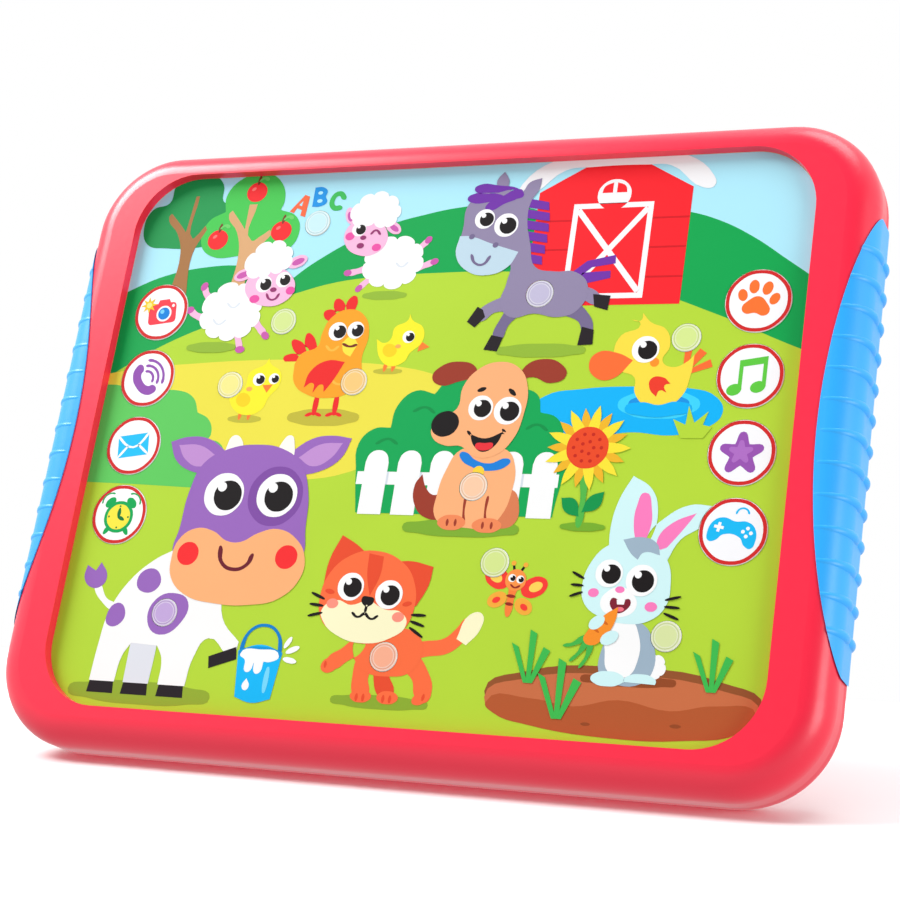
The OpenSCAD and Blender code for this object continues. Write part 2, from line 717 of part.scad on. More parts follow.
module battery_wire(side)
    wire([
        [side * (bay_l / 2 - plate_t / 2), tab_end_y, cell_z],
        [side * (bay_l / 2 - plate_t / 2), tab_end_y + 6, 0],
        [side * 20, board_y - board_h / 2 - 9, 1],
        [side * 16, board_y - board_h / 2 + 2, wire_end_z + 1.5],
        [side * 16, board_y - board_h / 2 + 4, wire_end_z]
    ]);

module wire_red() upright() color("red") battery_wire(1);
module wire_black() upright() color([0.1, 0.1, 0.1]) battery_wire(-1);

module speaker_wires() upright() color([0.9, 0.8, 0.2]) {
    reach = speaker_r - 0.8;
    seat_z = inner_back_z + gasket_t + speaker_flange_t + wire_r + 0.1;
    for (k = [0, 1]) {
        a = 131 + 8 * k;
        wire([
            [speaker_x + reach * cos(a), speaker_y + reach * sin(a), seat_z],
            [speaker_x + reach * cos(a), speaker_y + reach * sin(a), seat_z + 3],
            [board_w / 2 + 16 - 3 * k, speaker_y + 28, seat_z + 4.5],
            [board_w / 2 + 6 - 3 * k, board_y - 12, wire_end_z + 3],
            [board_w / 2 - 2 - 3 * k, board_y - 4, wire_end_z]
        ]);
    }
}

module case_screws() upright() color([0.65, 0.65, 0.67]) {
    at_corner_screws() pan_screw(back_z + case_screw_seat, panel_z - 3, true);
    at_tie_screws() pan_screw(back_z + case_screw_seat, backing_z - 1.6, true);
}

module panel_screws() upright() color([0.65, 0.65, 0.67])
    at_ears() pan_screw(backing_z, backing_z + panel_screw_l, true);

module board_screws() upright() color([0.65, 0.65, 0.67])
    at_board_screws() pan_screw(board_front_z, inner_back_z + 0.5, false);

module speaker_screws() upright() color([0.65, 0.65, 0.67])
    at_speaker_screws() pan_screw(inner_back_z + gasket_t + speaker_flange_t + pilot_gap, inner_back_z - 0.6, false);

front_bezel();
rear_cover();
grip_left();
grip_right();
graphic_overlay();
spacer_sheet();
membrane_circuit();
backing_plate();
icon_key(0);  // key_camera
icon_key(1);  // key_phone
icon_key(2);  // key_letter
icon_key(3);  // key_clock
icon_key(4);  // key_paw
icon_key(5);  // key_music
icon_key(6);  // key_star
icon_key(7);  // key_gamepad
spot_key(0);  // spot_abc
spot_key(1);  // spot_sheep
spot_key(2);  // spot_chick
spot_key(3);  // spot_hen
spot_key(4);  // spot_horse
spot_key(5);  // spot_duck
spot_key(6);  // spot_dog
spot_key(7);  // spot_cow
spot_key(8);  // spot_cat
spot_key(9);  // spot_butterfly
spot_key(10);  // spot_rabbit
sound_board();
sound_chip();
board_parts();
tail_connector();
switch_body();
switch_knob();
speaker_frame();
speaker_cone();
speaker_magnet();
speaker_gasket();
battery_cells();
contact_plates();
contact_springs();
battery_door();
door_screw();
wire_red();
wire_black();
speaker_wires();
case_screws();
panel_screws();
board_screws();
speaker_screws();
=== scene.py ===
import math

import bpy
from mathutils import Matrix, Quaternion, Vector


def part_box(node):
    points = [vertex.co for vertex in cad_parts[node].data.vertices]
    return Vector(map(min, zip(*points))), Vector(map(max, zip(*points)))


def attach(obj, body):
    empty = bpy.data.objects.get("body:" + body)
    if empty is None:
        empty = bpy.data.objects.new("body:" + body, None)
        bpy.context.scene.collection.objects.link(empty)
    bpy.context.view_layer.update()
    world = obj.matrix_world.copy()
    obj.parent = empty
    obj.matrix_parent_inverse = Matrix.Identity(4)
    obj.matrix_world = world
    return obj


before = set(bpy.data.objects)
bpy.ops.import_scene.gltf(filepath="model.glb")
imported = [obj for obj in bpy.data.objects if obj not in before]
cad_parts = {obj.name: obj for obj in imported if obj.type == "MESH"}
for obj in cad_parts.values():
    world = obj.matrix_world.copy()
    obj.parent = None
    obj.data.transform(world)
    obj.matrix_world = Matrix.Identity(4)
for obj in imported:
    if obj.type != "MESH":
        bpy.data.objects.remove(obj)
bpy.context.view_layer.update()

# Camera.
# It sits low, in front and to the right of the toy, and looks up at the middle of the picture.
# The toy leans back on its lower edge, so the camera is rolled against the toy's upright line.
seat = Vector((0.23966, -0.4953, -0.08306))
aim = Vector((0.00997, -0.0088, 0.09092))
roll = math.radians(8.96)
bpy.ops.object.camera_add(location=seat)
camera = bpy.context.object
camera.name = "camera"
turn = (aim - seat).to_track_quat("-Z", "Y") @ Quaternion((0, 0, 1), roll)
camera.rotation_mode = "QUATERNION"
camera.rotation_quaternion = turn
camera.data.sensor_width = 36
camera.data.lens = 81.36
camera.data.clip_start = 0.01
bpy.context.scene.camera = camera

# Floor and studio light.
# A white table top, tilted to the angle at which the toy leans back, and just touching its lower edge.
# Its underside is clear, so that it hides nothing from low behind.
# The room is white with a dim front, and has a large lamp at the upper left and two weaker ones.
lean = math.radians(21.4)
table_wide = 1.6
table_deep = 1.0
table_ahead = 0.28
table_gap = 0.00002
table_up = Vector((0, -math.sin(lean), math.cos(lean)))
toy_nodes = list(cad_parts.values())
touch = min(min(v.co.dot(table_up) for v in node.data.vertices) for node in toy_nodes)


class Wire:
    """One output of a shader node, so that a finish is written as plain sums."""

    def __init__(self, tree, socket=None):
        self.tree = tree
        self.socket = socket

    def node(self, kind, settings=None, sockets=None, out=0):
        made = self.tree.nodes.new(kind)
        for name, value in (settings or {}).items():
            setattr(made, name, value)
        for name, value in (sockets or {}).items():
            if isinstance(value, Wire):
                self.tree.links.new(value.socket, made.inputs[name])
            else:
                made.inputs[name].default_value = value
        return Wire(self.tree, made.outputs[out])

    def sum_of(self, operation, one, two):
        return self.node("ShaderNodeMath", {"operation": operation}, {0: one, 1: two})

    def __add__(self, other):
        return self.sum_of("ADD", self, other)

    def __sub__(self, other):
        return self.sum_of("SUBTRACT", self, other)

    def __mul__(self, other):
        return self.sum_of("MULTIPLY", self, other)

    def __rsub__(self, other):
        return self.sum_of("SUBTRACT", other, self)

    __radd__ = __add__
    __rmul__ = __mul__


def paint(red, green, blue):
    """A colour as it is named on a paint chart, from 0 to 255, made linear for the shader."""
    parts = [c / 255 for c in (red, green, blue)]
    return tuple(c / 12.92 if c <= 0.04045 else ((c + 0.055) / 1.055) ** 2.4 for c in parts) + (1,)


def finish_of(name, colour, shade, patch, rough, rough_swing, grain, grain_depth, coat=0.0, metal=0.0):
    """A moulded or pressed finish: colour drifts to shade in patches, and a fine grain stands on it."""
    made = bpy.data.materials.new(name)
    made.use_nodes = True
    shader = made.node_tree.nodes["Principled BSDF"]
    start = Wire(made.node_tree)
    place = start.node("ShaderNodeTexCoord", out="Object")
    drift = start.node("ShaderNodeTexNoise", None, {"Vector": place, "Scale": patch, "Detail": 2.0})
    fine = start.node("ShaderNodeTexNoise", None, {"Vector": place, "Scale": grain, "Detail": 1.0})
    tint = start.node(
        "ShaderNodeMix", {"data_type": "RGBA"}, {0: drift, 6: colour, 7: shade}, out=2
    )
    gloss = rough + (fine - 0.5) * rough_swing + (drift - 0.5) * rough_swing
    relief = start.node(
        "ShaderNodeBump", None, {"Height": fine, "Strength": 1.0, "Distance": grain_depth}
    )
    links = made.node_tree.links
    links.new(tint.socket, shader.inputs["Base Color"])
    links.new(gloss.socket, shader.inputs["Roughness"])
    links.new(relief.socket, shader.inputs["Normal"])
    shader.inputs["Coat Weight"].default_value = coat
    shader.inputs["Coat Roughness"].default_value = 0.25
    shader.inputs["Metallic"].default_value = metal
    return made


table_finish = finish_of(
    "white_table", (0.96, 0.95, 0.95, 1), (0.94, 0.93, 0.93, 1),
    patch=3.0, rough=0.5, rough_swing=0.05, grain=90.0, grain_depth=0.00002,
)
table_nodes = table_finish.node_tree
top = Wire(table_nodes, table_nodes.nodes["Principled BSDF"].outputs[0])
clear = top.node("ShaderNodeBsdfTransparent")
underside = top.node("ShaderNodeNewGeometry", out="Backfacing")
either = top.node("ShaderNodeMixShader", None, {0: underside, 1: top, 2: clear})
table_nodes.links.new(either.socket, table_nodes.nodes["Material Output"].inputs["Surface"])
bpy.ops.object.select_all(action="DESELECT")
bpy.ops.mesh.primitive_grid_add(x_subdivisions=8, y_subdivisions=8, size=1)
table = bpy.context.object
table.name = "table_top"
table.scale = (table_wide, table_deep, 1)
table.rotation_euler = (lean, 0, 0)
table.location = table_up * (touch - table_gap)
table.location += Vector((0, -table_ahead, -table_ahead * math.tan(lean)))
bpy.ops.object.transform_apply(location=True, rotation=True, scale=True)
table.data.materials.append(table_finish)
table.visible_diffuse = False
table.visible_glossy = False

room = bpy.data.worlds.new("white_room")
room.use_nodes = True
air = Wire(room.node_tree)
look = air.node("ShaderNodeTexCoord")
dim_side = Vector((0.12, -0.85, 0.5)).normalized()
ahead = air.node("ShaderNodeVectorMath", {"operation": "DOT_PRODUCT"}, {0: look, 1: dim_side}, out=1)
above = air.node("ShaderNodeVectorMath", {"operation": "DOT_PRODUCT"}, {0: look, 1: table_up}, out=1)
drape = air.node(
    "ShaderNodeMapRange",
    {"interpolation_type": "SMOOTHSTEP"},
    {"Value": ahead, "From Min": 0.4, "From Max": 0.97, "To Min": 1.0, "To Max": 0.16},
)
rise = air.node(
    "ShaderNodeMapRange",
    None,
    {"Value": above, "From Min": -0.7, "From Max": 0.2, "To Min": 0.7, "To Max": 1.0},
)
backdrop = air.node("ShaderNodeLightPath", out="Is Camera Ray")
light = backdrop + (1 - backdrop) * drape * rise
room.node_tree.links.new(light.socket, room.node_tree.nodes["Background"].inputs["Strength"])
room.node_tree.nodes["Background"].inputs["Color"].default_value = (1, 1, 1, 1)
bpy.context.scene.world = room
bpy.context.scene.view_settings.view_transform = "Standard"


def lamp(name, where, across, watts):
    """A round soft lamp that shines on the middle of the toy."""
    bpy.ops.object.light_add(type="AREA", location=where)
    made = bpy.context.object
    made.name = name
    made.data.shape = "DISK"
    made.data.size = across
    made.data.energy = watts
    made.rotation_mode = "QUATERNION"
    made.rotation_quaternion = (lamp_aim - Vector(where)).to_track_quat("-Z", "Y")


lamp_aim = Vector((0, 0, 0.1))
lamp("key_lamp", (-0.95, -0.6, 0.95), across=0.7, watts=21.0)
lamp("top_lamp", (0.25, -0.25, 1.3), across=0.8, watts=7.0)
lamp("side_lamp", (1.15, -0.5, 0.1), across=0.7, watts=6.0)

# Red case: front frame, back cover and battery door.
# Three injection mouldings in one red ABS, satin on the outside, with a very fine spark-eroded grain.
# The frame and the cover are screwed together from behind; the door clips in and is held by one screw.
def finish(finish_made, *nodes):
    """Gives a CAD node its finish, in each of its material slots."""
    for name in nodes:
        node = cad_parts[name]
        if not node.data.materials:
            node.data.materials.append(finish_made)
        for i in range(len(node.data.materials)):
            node.data.materials[i] = finish_made


red_plastic = finish_of(
    "red_abs", paint(250, 36, 70), paint(244, 30, 62),
    patch=14.0, rough=0.34, rough_swing=0.06, grain=420.0, grain_depth=0.000012, coat=0.25,
)
finish(red_plastic, "front_bezel")

cover_plastic = finish_of(
    "red_abs_grained", paint(244, 34, 66), paint(236, 28, 58),
    patch=16.0, rough=0.46, rough_swing=0.08, grain=700.0, grain_depth=0.00003, coat=0.1,
)
finish(cover_plastic, "rear_cover", "battery_door")

# Grips.
# Soft blue rubber, moulded over the waist of the case on each side, with raised ribs for the fingers.
blue_rubber = finish_of(
    "blue_soft_rubber", paint(44, 174, 252), paint(36, 166, 248),
    patch=22.0, rough=0.4, rough_swing=0.08, grain=600.0, grain_depth=0.00002, coat=0.15,
)
finish(blue_rubber, "grip_left", "grip_right")

# Keypad under the picture: spacer, membrane and backing plate.
# A die-cut white spacer, a clear polyester sheet with printed silver tracks, and a ribbed grey plate
# that the stack is screwed against.
spacer_film = finish_of(
    "spacer_film", paint(232, 236, 240), paint(222, 228, 234),
    patch=30.0, rough=0.45, rough_swing=0.05, grain=500.0, grain_depth=0.00001,
)
finish(spacer_film, "spacer_sheet")

membrane_film = finish_of(
    "membrane_film", paint(176, 190, 170), paint(206, 214, 196),
    patch=60.0, rough=0.3, rough_swing=0.1, grain=350.0, grain_depth=0.00001, coat=0.3,
)
finish(membrane_film, "membrane_circuit")

grey_plastic = finish_of(
    "grey_styrene", paint(96, 100, 108), paint(84, 88, 96),
    patch=18.0, rough=0.5, rough_swing=0.08, grain=500.0, grain_depth=0.00002,
)
finish(grey_plastic, "backing_plate")

# Sound board.
# A green glass-fibre board with its chip under a black blob, small parts, a tail connector,
# and the slide switch that shows at the back.
solder_mask = finish_of(
    "green_solder_mask", paint(28, 120, 62), paint(16, 92, 46),
    patch=160.0, rough=0.28, rough_swing=0.1, grain=420.0, grain_depth=0.00002, coat=0.4,
)
finish(solder_mask, "sound_board")
chip_resin = finish_of(
    "black_resin", paint(26, 26, 30), paint(38, 38, 42),
    patch=120.0, rough=0.35, rough_swing=0.1, grain=600.0, grain_depth=0.00003, coat=0.3,
)
finish(chip_resin, "sound_chip")
part_body = finish_of(
    "component_sleeve", paint(58, 62, 92), paint(44, 46, 70),
    patch=200.0, rough=0.4, rough_swing=0.1, grain=500.0, grain_depth=0.00001,
)
finish(part_body, "board_parts")
white_nylon = finish_of(
    "white_nylon", paint(238, 236, 226), paint(228, 226, 214),
    patch=80.0, rough=0.42, rough_swing=0.06, grain=500.0, grain_depth=0.00001,
)
finish(white_nylon, "tail_connector")
tinned_steel = finish_of(
    "tinned_steel", paint(196, 198, 202), paint(172, 176, 182),
    patch=90.0, rough=0.3, rough_swing=0.12, grain=400.0, grain_depth=0.00001, metal=1.0,
)
finish(tinned_steel, "switch_body", "speaker_frame")
black_plastic = finish_of(
    "black_acetal", paint(30, 30, 33), paint(40, 40, 44),
    patch=120.0, rough=0.42, rough_swing=0.1, grain=700.0, grain_depth=0.00002,
)
finish(black_plastic, "switch_knob")

# Speaker.
# A pressed-steel basket with a black paper cone, a plated magnet and a foam ring against the cover.
cone_paper = finish_of(
    "cone_paper", paint(46, 46, 48), paint(32, 32, 34),
    patch=180.0, rough=0.85, rough_swing=0.08, grain=900.0, grain_depth=0.00008,
)
finish(cone_paper, "speaker_cone")
magnet_plate = finish_of(
    "plated_magnet", paint(150, 152, 158), paint(120, 122, 130),
    patch=70.0, rough=0.32, rough_swing=0.12, grain=500.0, grain_depth=0.00001, metal=1.0,
)
finish(magnet_plate, "speaker_magnet")
foam_ring = finish_of(
    "foam_ring", paint(52, 52, 54), paint(70, 70, 72),
    patch=300.0, rough=0.95, rough_swing=0.05, grain=1200.0, grain_depth=0.0002,
)
finish(foam_ring, "speaker_gasket")

# Batteries, contacts and screws.
# Three AAA cells in printed sleeves, nickel-plated strip contacts and springs, and zinc-plated screws.
cell_sleeve = finish_of(
    "cell_sleeve", paint(38, 40, 46), paint(58, 60, 66),
    patch=60.0, rough=0.3, rough_swing=0.08, grain=300.0, grain_depth=0.00001, coat=0.5,
)
finish(cell_sleeve, "battery_cells")
nickel = finish_of(
    "nickel_plate", paint(206, 204, 196), paint(184, 182, 172),
    patch=120.0, rough=0.25, rough_swing=0.12, grain=500.0, grain_depth=0.00001, metal=1.0,
)
finish(nickel, "contact_plates", "contact_springs")
zinc = finish_of(
    "zinc_plate", paint(176, 180, 188), paint(150, 154, 164),
    patch=240.0, rough=0.34, rough_swing=0.15, grain=700.0, grain_depth=0.00002, metal=1.0,
)
finish(zinc, "door_screw", "case_screws", "panel_screws", "board_screws", "speaker_screws")

# Wires.
# Thin stranded wires in soft vinyl: red and black from the batteries, yellow to the speaker.
for wire, insulation, shade in (
    ("wire_red", paint(214, 34, 38), paint(196, 26, 30)),
    ("wire_black", paint(30, 30, 32), paint(42, 42, 44)),
    ("speaker_wires", paint(240, 200, 50), paint(226, 184, 36)),
):
    vinyl = finish_of(
        wire + "_vinyl", insulation, shade,
        patch=150.0, rough=0.4, rough_swing=0.08, grain=600.0, grain_depth=0.00001, coat=0.2,
    )
    finish(vinyl, wire)

# Printed picture: the film and its ground.
# A matt polycarbonate film lies in the window, and the picture is screen printed on its face, one
# ink over another. A steel rule die then cuts the inks to the window and round the 19 buttons.
film_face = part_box("graphic_overlay")[0].y
ink_step = 0.000008
ink_depth = 0.000006
weld = 0.0000005
window_half = 0.1072
window_low = 0.01145
window_high = 0.17935
window_corner = 0.019

matt_film = finish_of(
    "matt_film", paint(214, 226, 120), paint(206, 220, 108),
    patch=40.0, rough=0.5, rough_swing=0.05, grain=900.0, grain_depth=0.000006,
)
finish(matt_film, "graphic_overlay")


def screen_ink():
    """Matt screen ink. Its colour is the one that each printed shape carries, a little uneven."""
    made = bpy.data.materials.new("screen_ink")
    made.use_nodes = True
    shader = made.node_tree.nodes["Principled BSDF"]
    start = Wire(made.node_tree)
    ink = start.node("ShaderNodeVertexColor", {"layer_name": "ink"})
    place = start.node("ShaderNodeTexCoord", out=3)
    pull = start.node("ShaderNodeTexNoise", None, {"Vector": place, "Scale": 34.0, "Detail": 3.0})
    weave = start.node("ShaderNodeTexNoise", None, {"Vector": place, "Scale": 800.0, "Detail": 1.0})
    thin = 0.82 + pull * 0.07
    thinned = start.node("ShaderNodeVectorMath", {"operation": "SCALE"}, {0: ink, "Scale": thin})
    relief = start.node(
        "ShaderNodeBump", None, {"Height": weave, "Strength": 1.0, "Distance": 0.000006}
    )
    links = made.node_tree.links
    links.new(thinned.socket, shader.inputs["Base Color"])
    links.new((0.55 + (weave - 0.5) * 0.08).socket, shader.inputs["Roughness"])
    links.new(relief.socket, shader.inputs["Normal"])
    shader.inputs["Specular IOR Level"].default_value = 0.12
    return made


ink_finish = screen_ink()


def soft(*points):
    """A closed outline through the points, in mm across and up. A third value marks a corner."""
    return [(p[0], p[1], len(p) == 2) for p in points]


def hard(*points):
    """A closed outline of straight sides."""
    return [(x, z, False) for x, z in points]


def oval(x, z, across, high=None, turned=0.0):
    """A disc or an oval, given by its half width and half height."""
    high = across if high is None else high
    c, s = math.cos(math.radians(turned)), math.sin(math.radians(turned))
    ring = []
    for i in range(8):
        u, v = across * math.cos(i * math.pi / 4), high * math.sin(i * math.pi / 4)
        ring.append((x + u * c - v * s, z + u * s + v * c, True))
    return ring


def band(points, width, tip=None):
    """A brush stroke along the points, round at both ends. tip is its width at the far end."""
    tip = width if tip is None else tip
    left, right = [], []
    last = len(points) - 1
    for i, (x, z) in enumerate(points):
        ahead, behind = points[min(i + 1, last)], points[max(i - 1, 0)]
        along = Vector((ahead[0] - behind[0], ahead[1] - behind[1])).normalized()
        half = (width + (tip - width) * i / last) / 2
        left.append((x - along.y * half, z + along.x * half, True))
        right.append((x + along.y * half, z - along.x * half, True))
        if i == 0:
            start_cap = (x - along.x * half, z - along.y * half, True)
        end_cap = (x + along.x * half, z + along.y * half, True)
    return [start_cap] + right + [end_cap] + left[::-1]


def cloud(points, swell=0.4):
    """Scallops between the points, which go round anticlockwise. swell is a bump's height to its width."""
    ring = []
    for i, (x, z) in enumerate(points):
        nx, nz = points[(i + 1) % len(points)]
        chord = Vector((nx - x, nz - z))
        out = Vector((chord.y, -chord.x))
        ring.append((x, z, False))
        for share, rise in ((0.06, 0.45), (0.27, 0.87), (0.5, 1.0), (0.73, 0.87), (0.94, 0.45)):
            p = Vector((x, z)) + chord * share + out * (swell * rise)
            ring.append((p.x, p.y, True))
    return ring


def star(x, z, outer, inner, tips, turned=90.0, round_tips=True):
    """A star whose first tip points the way it is turned."""
    ring = []
    for i in range(tips * 2):
        far = outer if i % 2 == 0 else inner
        a = math.radians(turned + 180 * i / tips)
        ring.append((x + far * math.cos(a), z + far * math.sin(a), round_tips and i % 2 == 0))
    return ring


def eye(x, z, size, look=0.25):
    """White, pupil and glint of a cartoon eye, as three inks."""
    pupil = size * 0.7
    gaze = x + look * size
    return [
        (INK_WHITE, oval(x, z, size)),
        (INK_BLACK, oval(gaze, z - size * 0.05, pupil)),
        (INK_WHITE, oval(gaze - pupil * 0.5, z + pupil * 0.5, pupil * 0.32)),
    ]


def pairs(*eyes):
    """Several eyes printed at once, so that they share their three inks."""
    sets = [eye(*e) for e in eyes]
    return [(sets[0][i][0], *[o for s in sets for o in s[i][1:]]) for i in range(3)]


INK_WHITE = paint(255, 255, 255)
INK_BLACK = paint(22, 16, 18)


def print_inks(name, layers, cutter, face, body, level=0):
    """Prints inks one over another on a face that looks at the child, and lets them ride on a body.

    The cutter trims them, and level is the number of inks that already lie under them.
    """
    sheets = []
    for i, (colour, *outlines) in enumerate(layers):
        drawing = bpy.data.curves.new(name, "CURVE")
        drawing.dimensions = "2D"
        drawing.fill_mode = "BOTH"
        drawing.resolution_u = 5
        for outline in outlines:
            spline = drawing.splines.new("BEZIER")
            spline.use_cyclic_u = True
            spline.bezier_points.add(len(outline) - 1)
            for knot, (x, z, smooth) in zip(spline.bezier_points, outline):
                knot.handle_left_type = knot.handle_right_type = "AUTO" if smooth else "VECTOR"
                knot.co = (x / 1000, z / 1000, 0)
        sheet = bpy.data.objects.new(name, drawing)
        bpy.context.scene.collection.objects.link(sheet)
        sheet.rotation_euler = (math.pi / 2, 0, 0)
        sheet.location = (0, face - (level + i + 1) * ink_step + ink_depth, 0)
        sheets.append((sheet, colour))
    bpy.ops.object.select_all(action="DESELECT")
    for sheet, colour in sheets:
        sheet.select_set(True)
    bpy.context.view_layer.objects.active = sheets[0][0]
    bpy.ops.object.convert(target="MESH")
    for sheet, colour in sheets:
        carried = sheet.data.color_attributes.new("ink", "FLOAT_COLOR", "CORNER")
        for corner in carried.data:
            corner.color = colour
    bpy.ops.object.join()
    printed = bpy.context.object
    bpy.ops.object.transform_apply(location=True, rotation=True, scale=True)
    bpy.ops.object.mode_set(mode="EDIT")
    bpy.ops.mesh.select_all(action="SELECT")
    bpy.ops.mesh.remove_doubles(threshold=weld)
    bpy.ops.mesh.extrude_region_move(TRANSFORM_OT_translate={"value": (0, -ink_depth, 0)})
    bpy.ops.mesh.select_all(action="SELECT")
    bpy.ops.mesh.normals_make_consistent(inside=False)
    bpy.ops.object.mode_set(mode="OBJECT")
    printed.name = name
    printed.data.materials.clear()
    printed.data.materials.append(ink_finish)
    if cutter is not None:
        trim(printed, cutter)
    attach(printed, body)
    return printed


def trim(piece, cutter):
    """Keeps what lies inside the cutter."""
    bpy.ops.object.select_all(action="DESELECT")
    piece.select_set(True)
    bpy.context.view_layer.objects.active = piece
    bpy.ops.object.modifier_add(type="BOOLEAN")
    cut = piece.modifiers[-1]
    cut.operation = "INTERSECT"
    cut.solver = "EXACT"
    cut.object = cutter
    bpy.ops.object.modifier_apply(modifier=cut.name)


def die_cutter():
    """The window's rounded outline, with a hole for each button, as one deep block."""
    block_deep = 0.004
    punch_deep = 0.008
    button_gap = 0.0001
    bpy.ops.object.select_all(action="DESELECT")
    high = window_high - window_low
    bpy.ops.mesh.primitive_cube_add(size=1, location=(0, film_face, window_low + high / 2))
    block = bpy.context.object
    block.scale = (window_half * 2, block_deep, high)
    bpy.ops.object.transform_apply(location=True, rotation=True, scale=True)
    bpy.ops.object.mode_set(mode="EDIT")
    bpy.ops.mesh.select_mode(type="EDGE")
    bpy.ops.mesh.select_all(action="DESELECT")
    bpy.ops.object.mode_set(mode="OBJECT")
    for edge in block.data.edges:
        a, b = (block.data.vertices[v].co for v in edge.vertices)
        edge.select = abs(a.y - b.y) > block_deep / 2
    bpy.ops.object.mode_set(mode="EDIT")
    bpy.ops.mesh.bevel(offset=window_corner, segments=16, affect="EDGES")
    bpy.ops.mesh.select_all(action="SELECT")
    bpy.ops.mesh.normals_make_consistent(inside=False)
    bpy.ops.object.mode_set(mode="OBJECT")
    punches = []
    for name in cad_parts:
        if name.startswith(("key_", "spot_")):
            low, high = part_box(name)
            reach = (high.x - low.x) / 2 + button_gap
            middle = (low + high) / 2
            bpy.ops.mesh.primitive_cylinder_add(
                vertices=64,
                radius=reach,
                depth=punch_deep,
                location=(middle.x, film_face, middle.z),
                rotation=(math.pi / 2, 0, 0),
            )
            punches.append(bpy.context.object)
    bpy.ops.object.select_all(action="DESELECT")
    for punch in punches:
        punch.select_set(True)
    bpy.context.view_layer.objects.active = punches[0]
    bpy.ops.object.join()
    punch = bpy.context.object
    bpy.ops.object.transform_apply(location=True, rotation=True, scale=True)
    bpy.ops.object.select_all(action="DESELECT")
    block.select_set(True)
    bpy.context.view_layer.objects.active = block
    bpy.ops.object.modifier_add(type="BOOLEAN")
    cut = block.modifiers[-1]
    cut.operation = "DIFFERENCE"
    cut.solver = "EXACT"
    cut.object = punch
    bpy.ops.object.modifier_apply(modifier=cut.name)
    bpy.data.objects.remove(punch)
    return block


die = die_cutter()

sky_blue = paint(178, 238, 255)
hill_green = paint(3, 168, 80)
lime = paint(184, 220, 58)
straw = paint(240, 228, 74)
leaf_green = paint(97, 205, 96)
ground = [
    (sky_blue, hard((-109, 9), (109, 9), (109, 181), (-109, 181))),
    (
        hill_green,
        soft(
            (-112, 96, 0), (-112, 139, 0), (-104, 143), (-95, 146.5), (-80, 149.2), (-68, 149.2),
            (-50, 145), (-36, 136, 0),
        ),
        soft(
            (112, 100, 0), (112, 138, 0), (100, 146.5), (90, 153.5), (80, 158.8), (70, 162), (56, 164),
            (44, 160, 0), (44, 130, 0),
        ),
    ),
    (
        hill_green,
        soft(
            (-62, 128, 0), (-60, 134, 0), (-49, 145.5), (-40, 152), (-30, 157.5), (-20, 161.5),
            (-10, 164), (0, 165.8), (12, 166.4), (26, 164), (40, 158, 0), (40, 128, 0),
        ),
    ),
    (
        lime,
        soft(
            (-112, 5, 0), (112, 5, 0), (112, 118, 0), (100, 123), (90, 127.5), (80, 131.6), (68, 136.2),
            (54, 140), (38, 143), (19, 145), (0, 145.2), (-20, 144.5), (-35, 143), (-48, 139.7),
            (-60, 136), (-75, 130), (-85, 126), (-95, 121), (-112, 110.5, 0),
        ),
    ),
    (
        straw,
        soft(
            (-112, 80.5, 0), (-70, 80.2), (-40, 81), (-20, 84), (-6, 92), (4, 104), (7, 111.4, 0),
            (0, 114), (-10, 116), (-25, 117.5), (-45, 118.4), (-60, 118.3), (-80, 117.3), (-95, 116.2),
            (-112, 113.6, 0),
        ),
    ),
    (
        leaf_green,
        soft(
            (-112, 79.5, 0), (-112, 110.5, 0), (-102, 110.3), (-96.5, 107.6), (-94, 104.5, 0),
            (-89, 108), (-82, 108.8), (-76, 106.4), (-73.6, 101.8, 0), (-69.2, 99.4), (-67.6, 95),
            (-68.6, 92.9, 0), (-64.8, 92.6), (-61.8, 88.6), (-62.8, 82.6), (-68, 78.2, 0), (-90, 79, 0),
        ),
    ),
]
print_inks("ground_print", ground, die, film_face, "case")

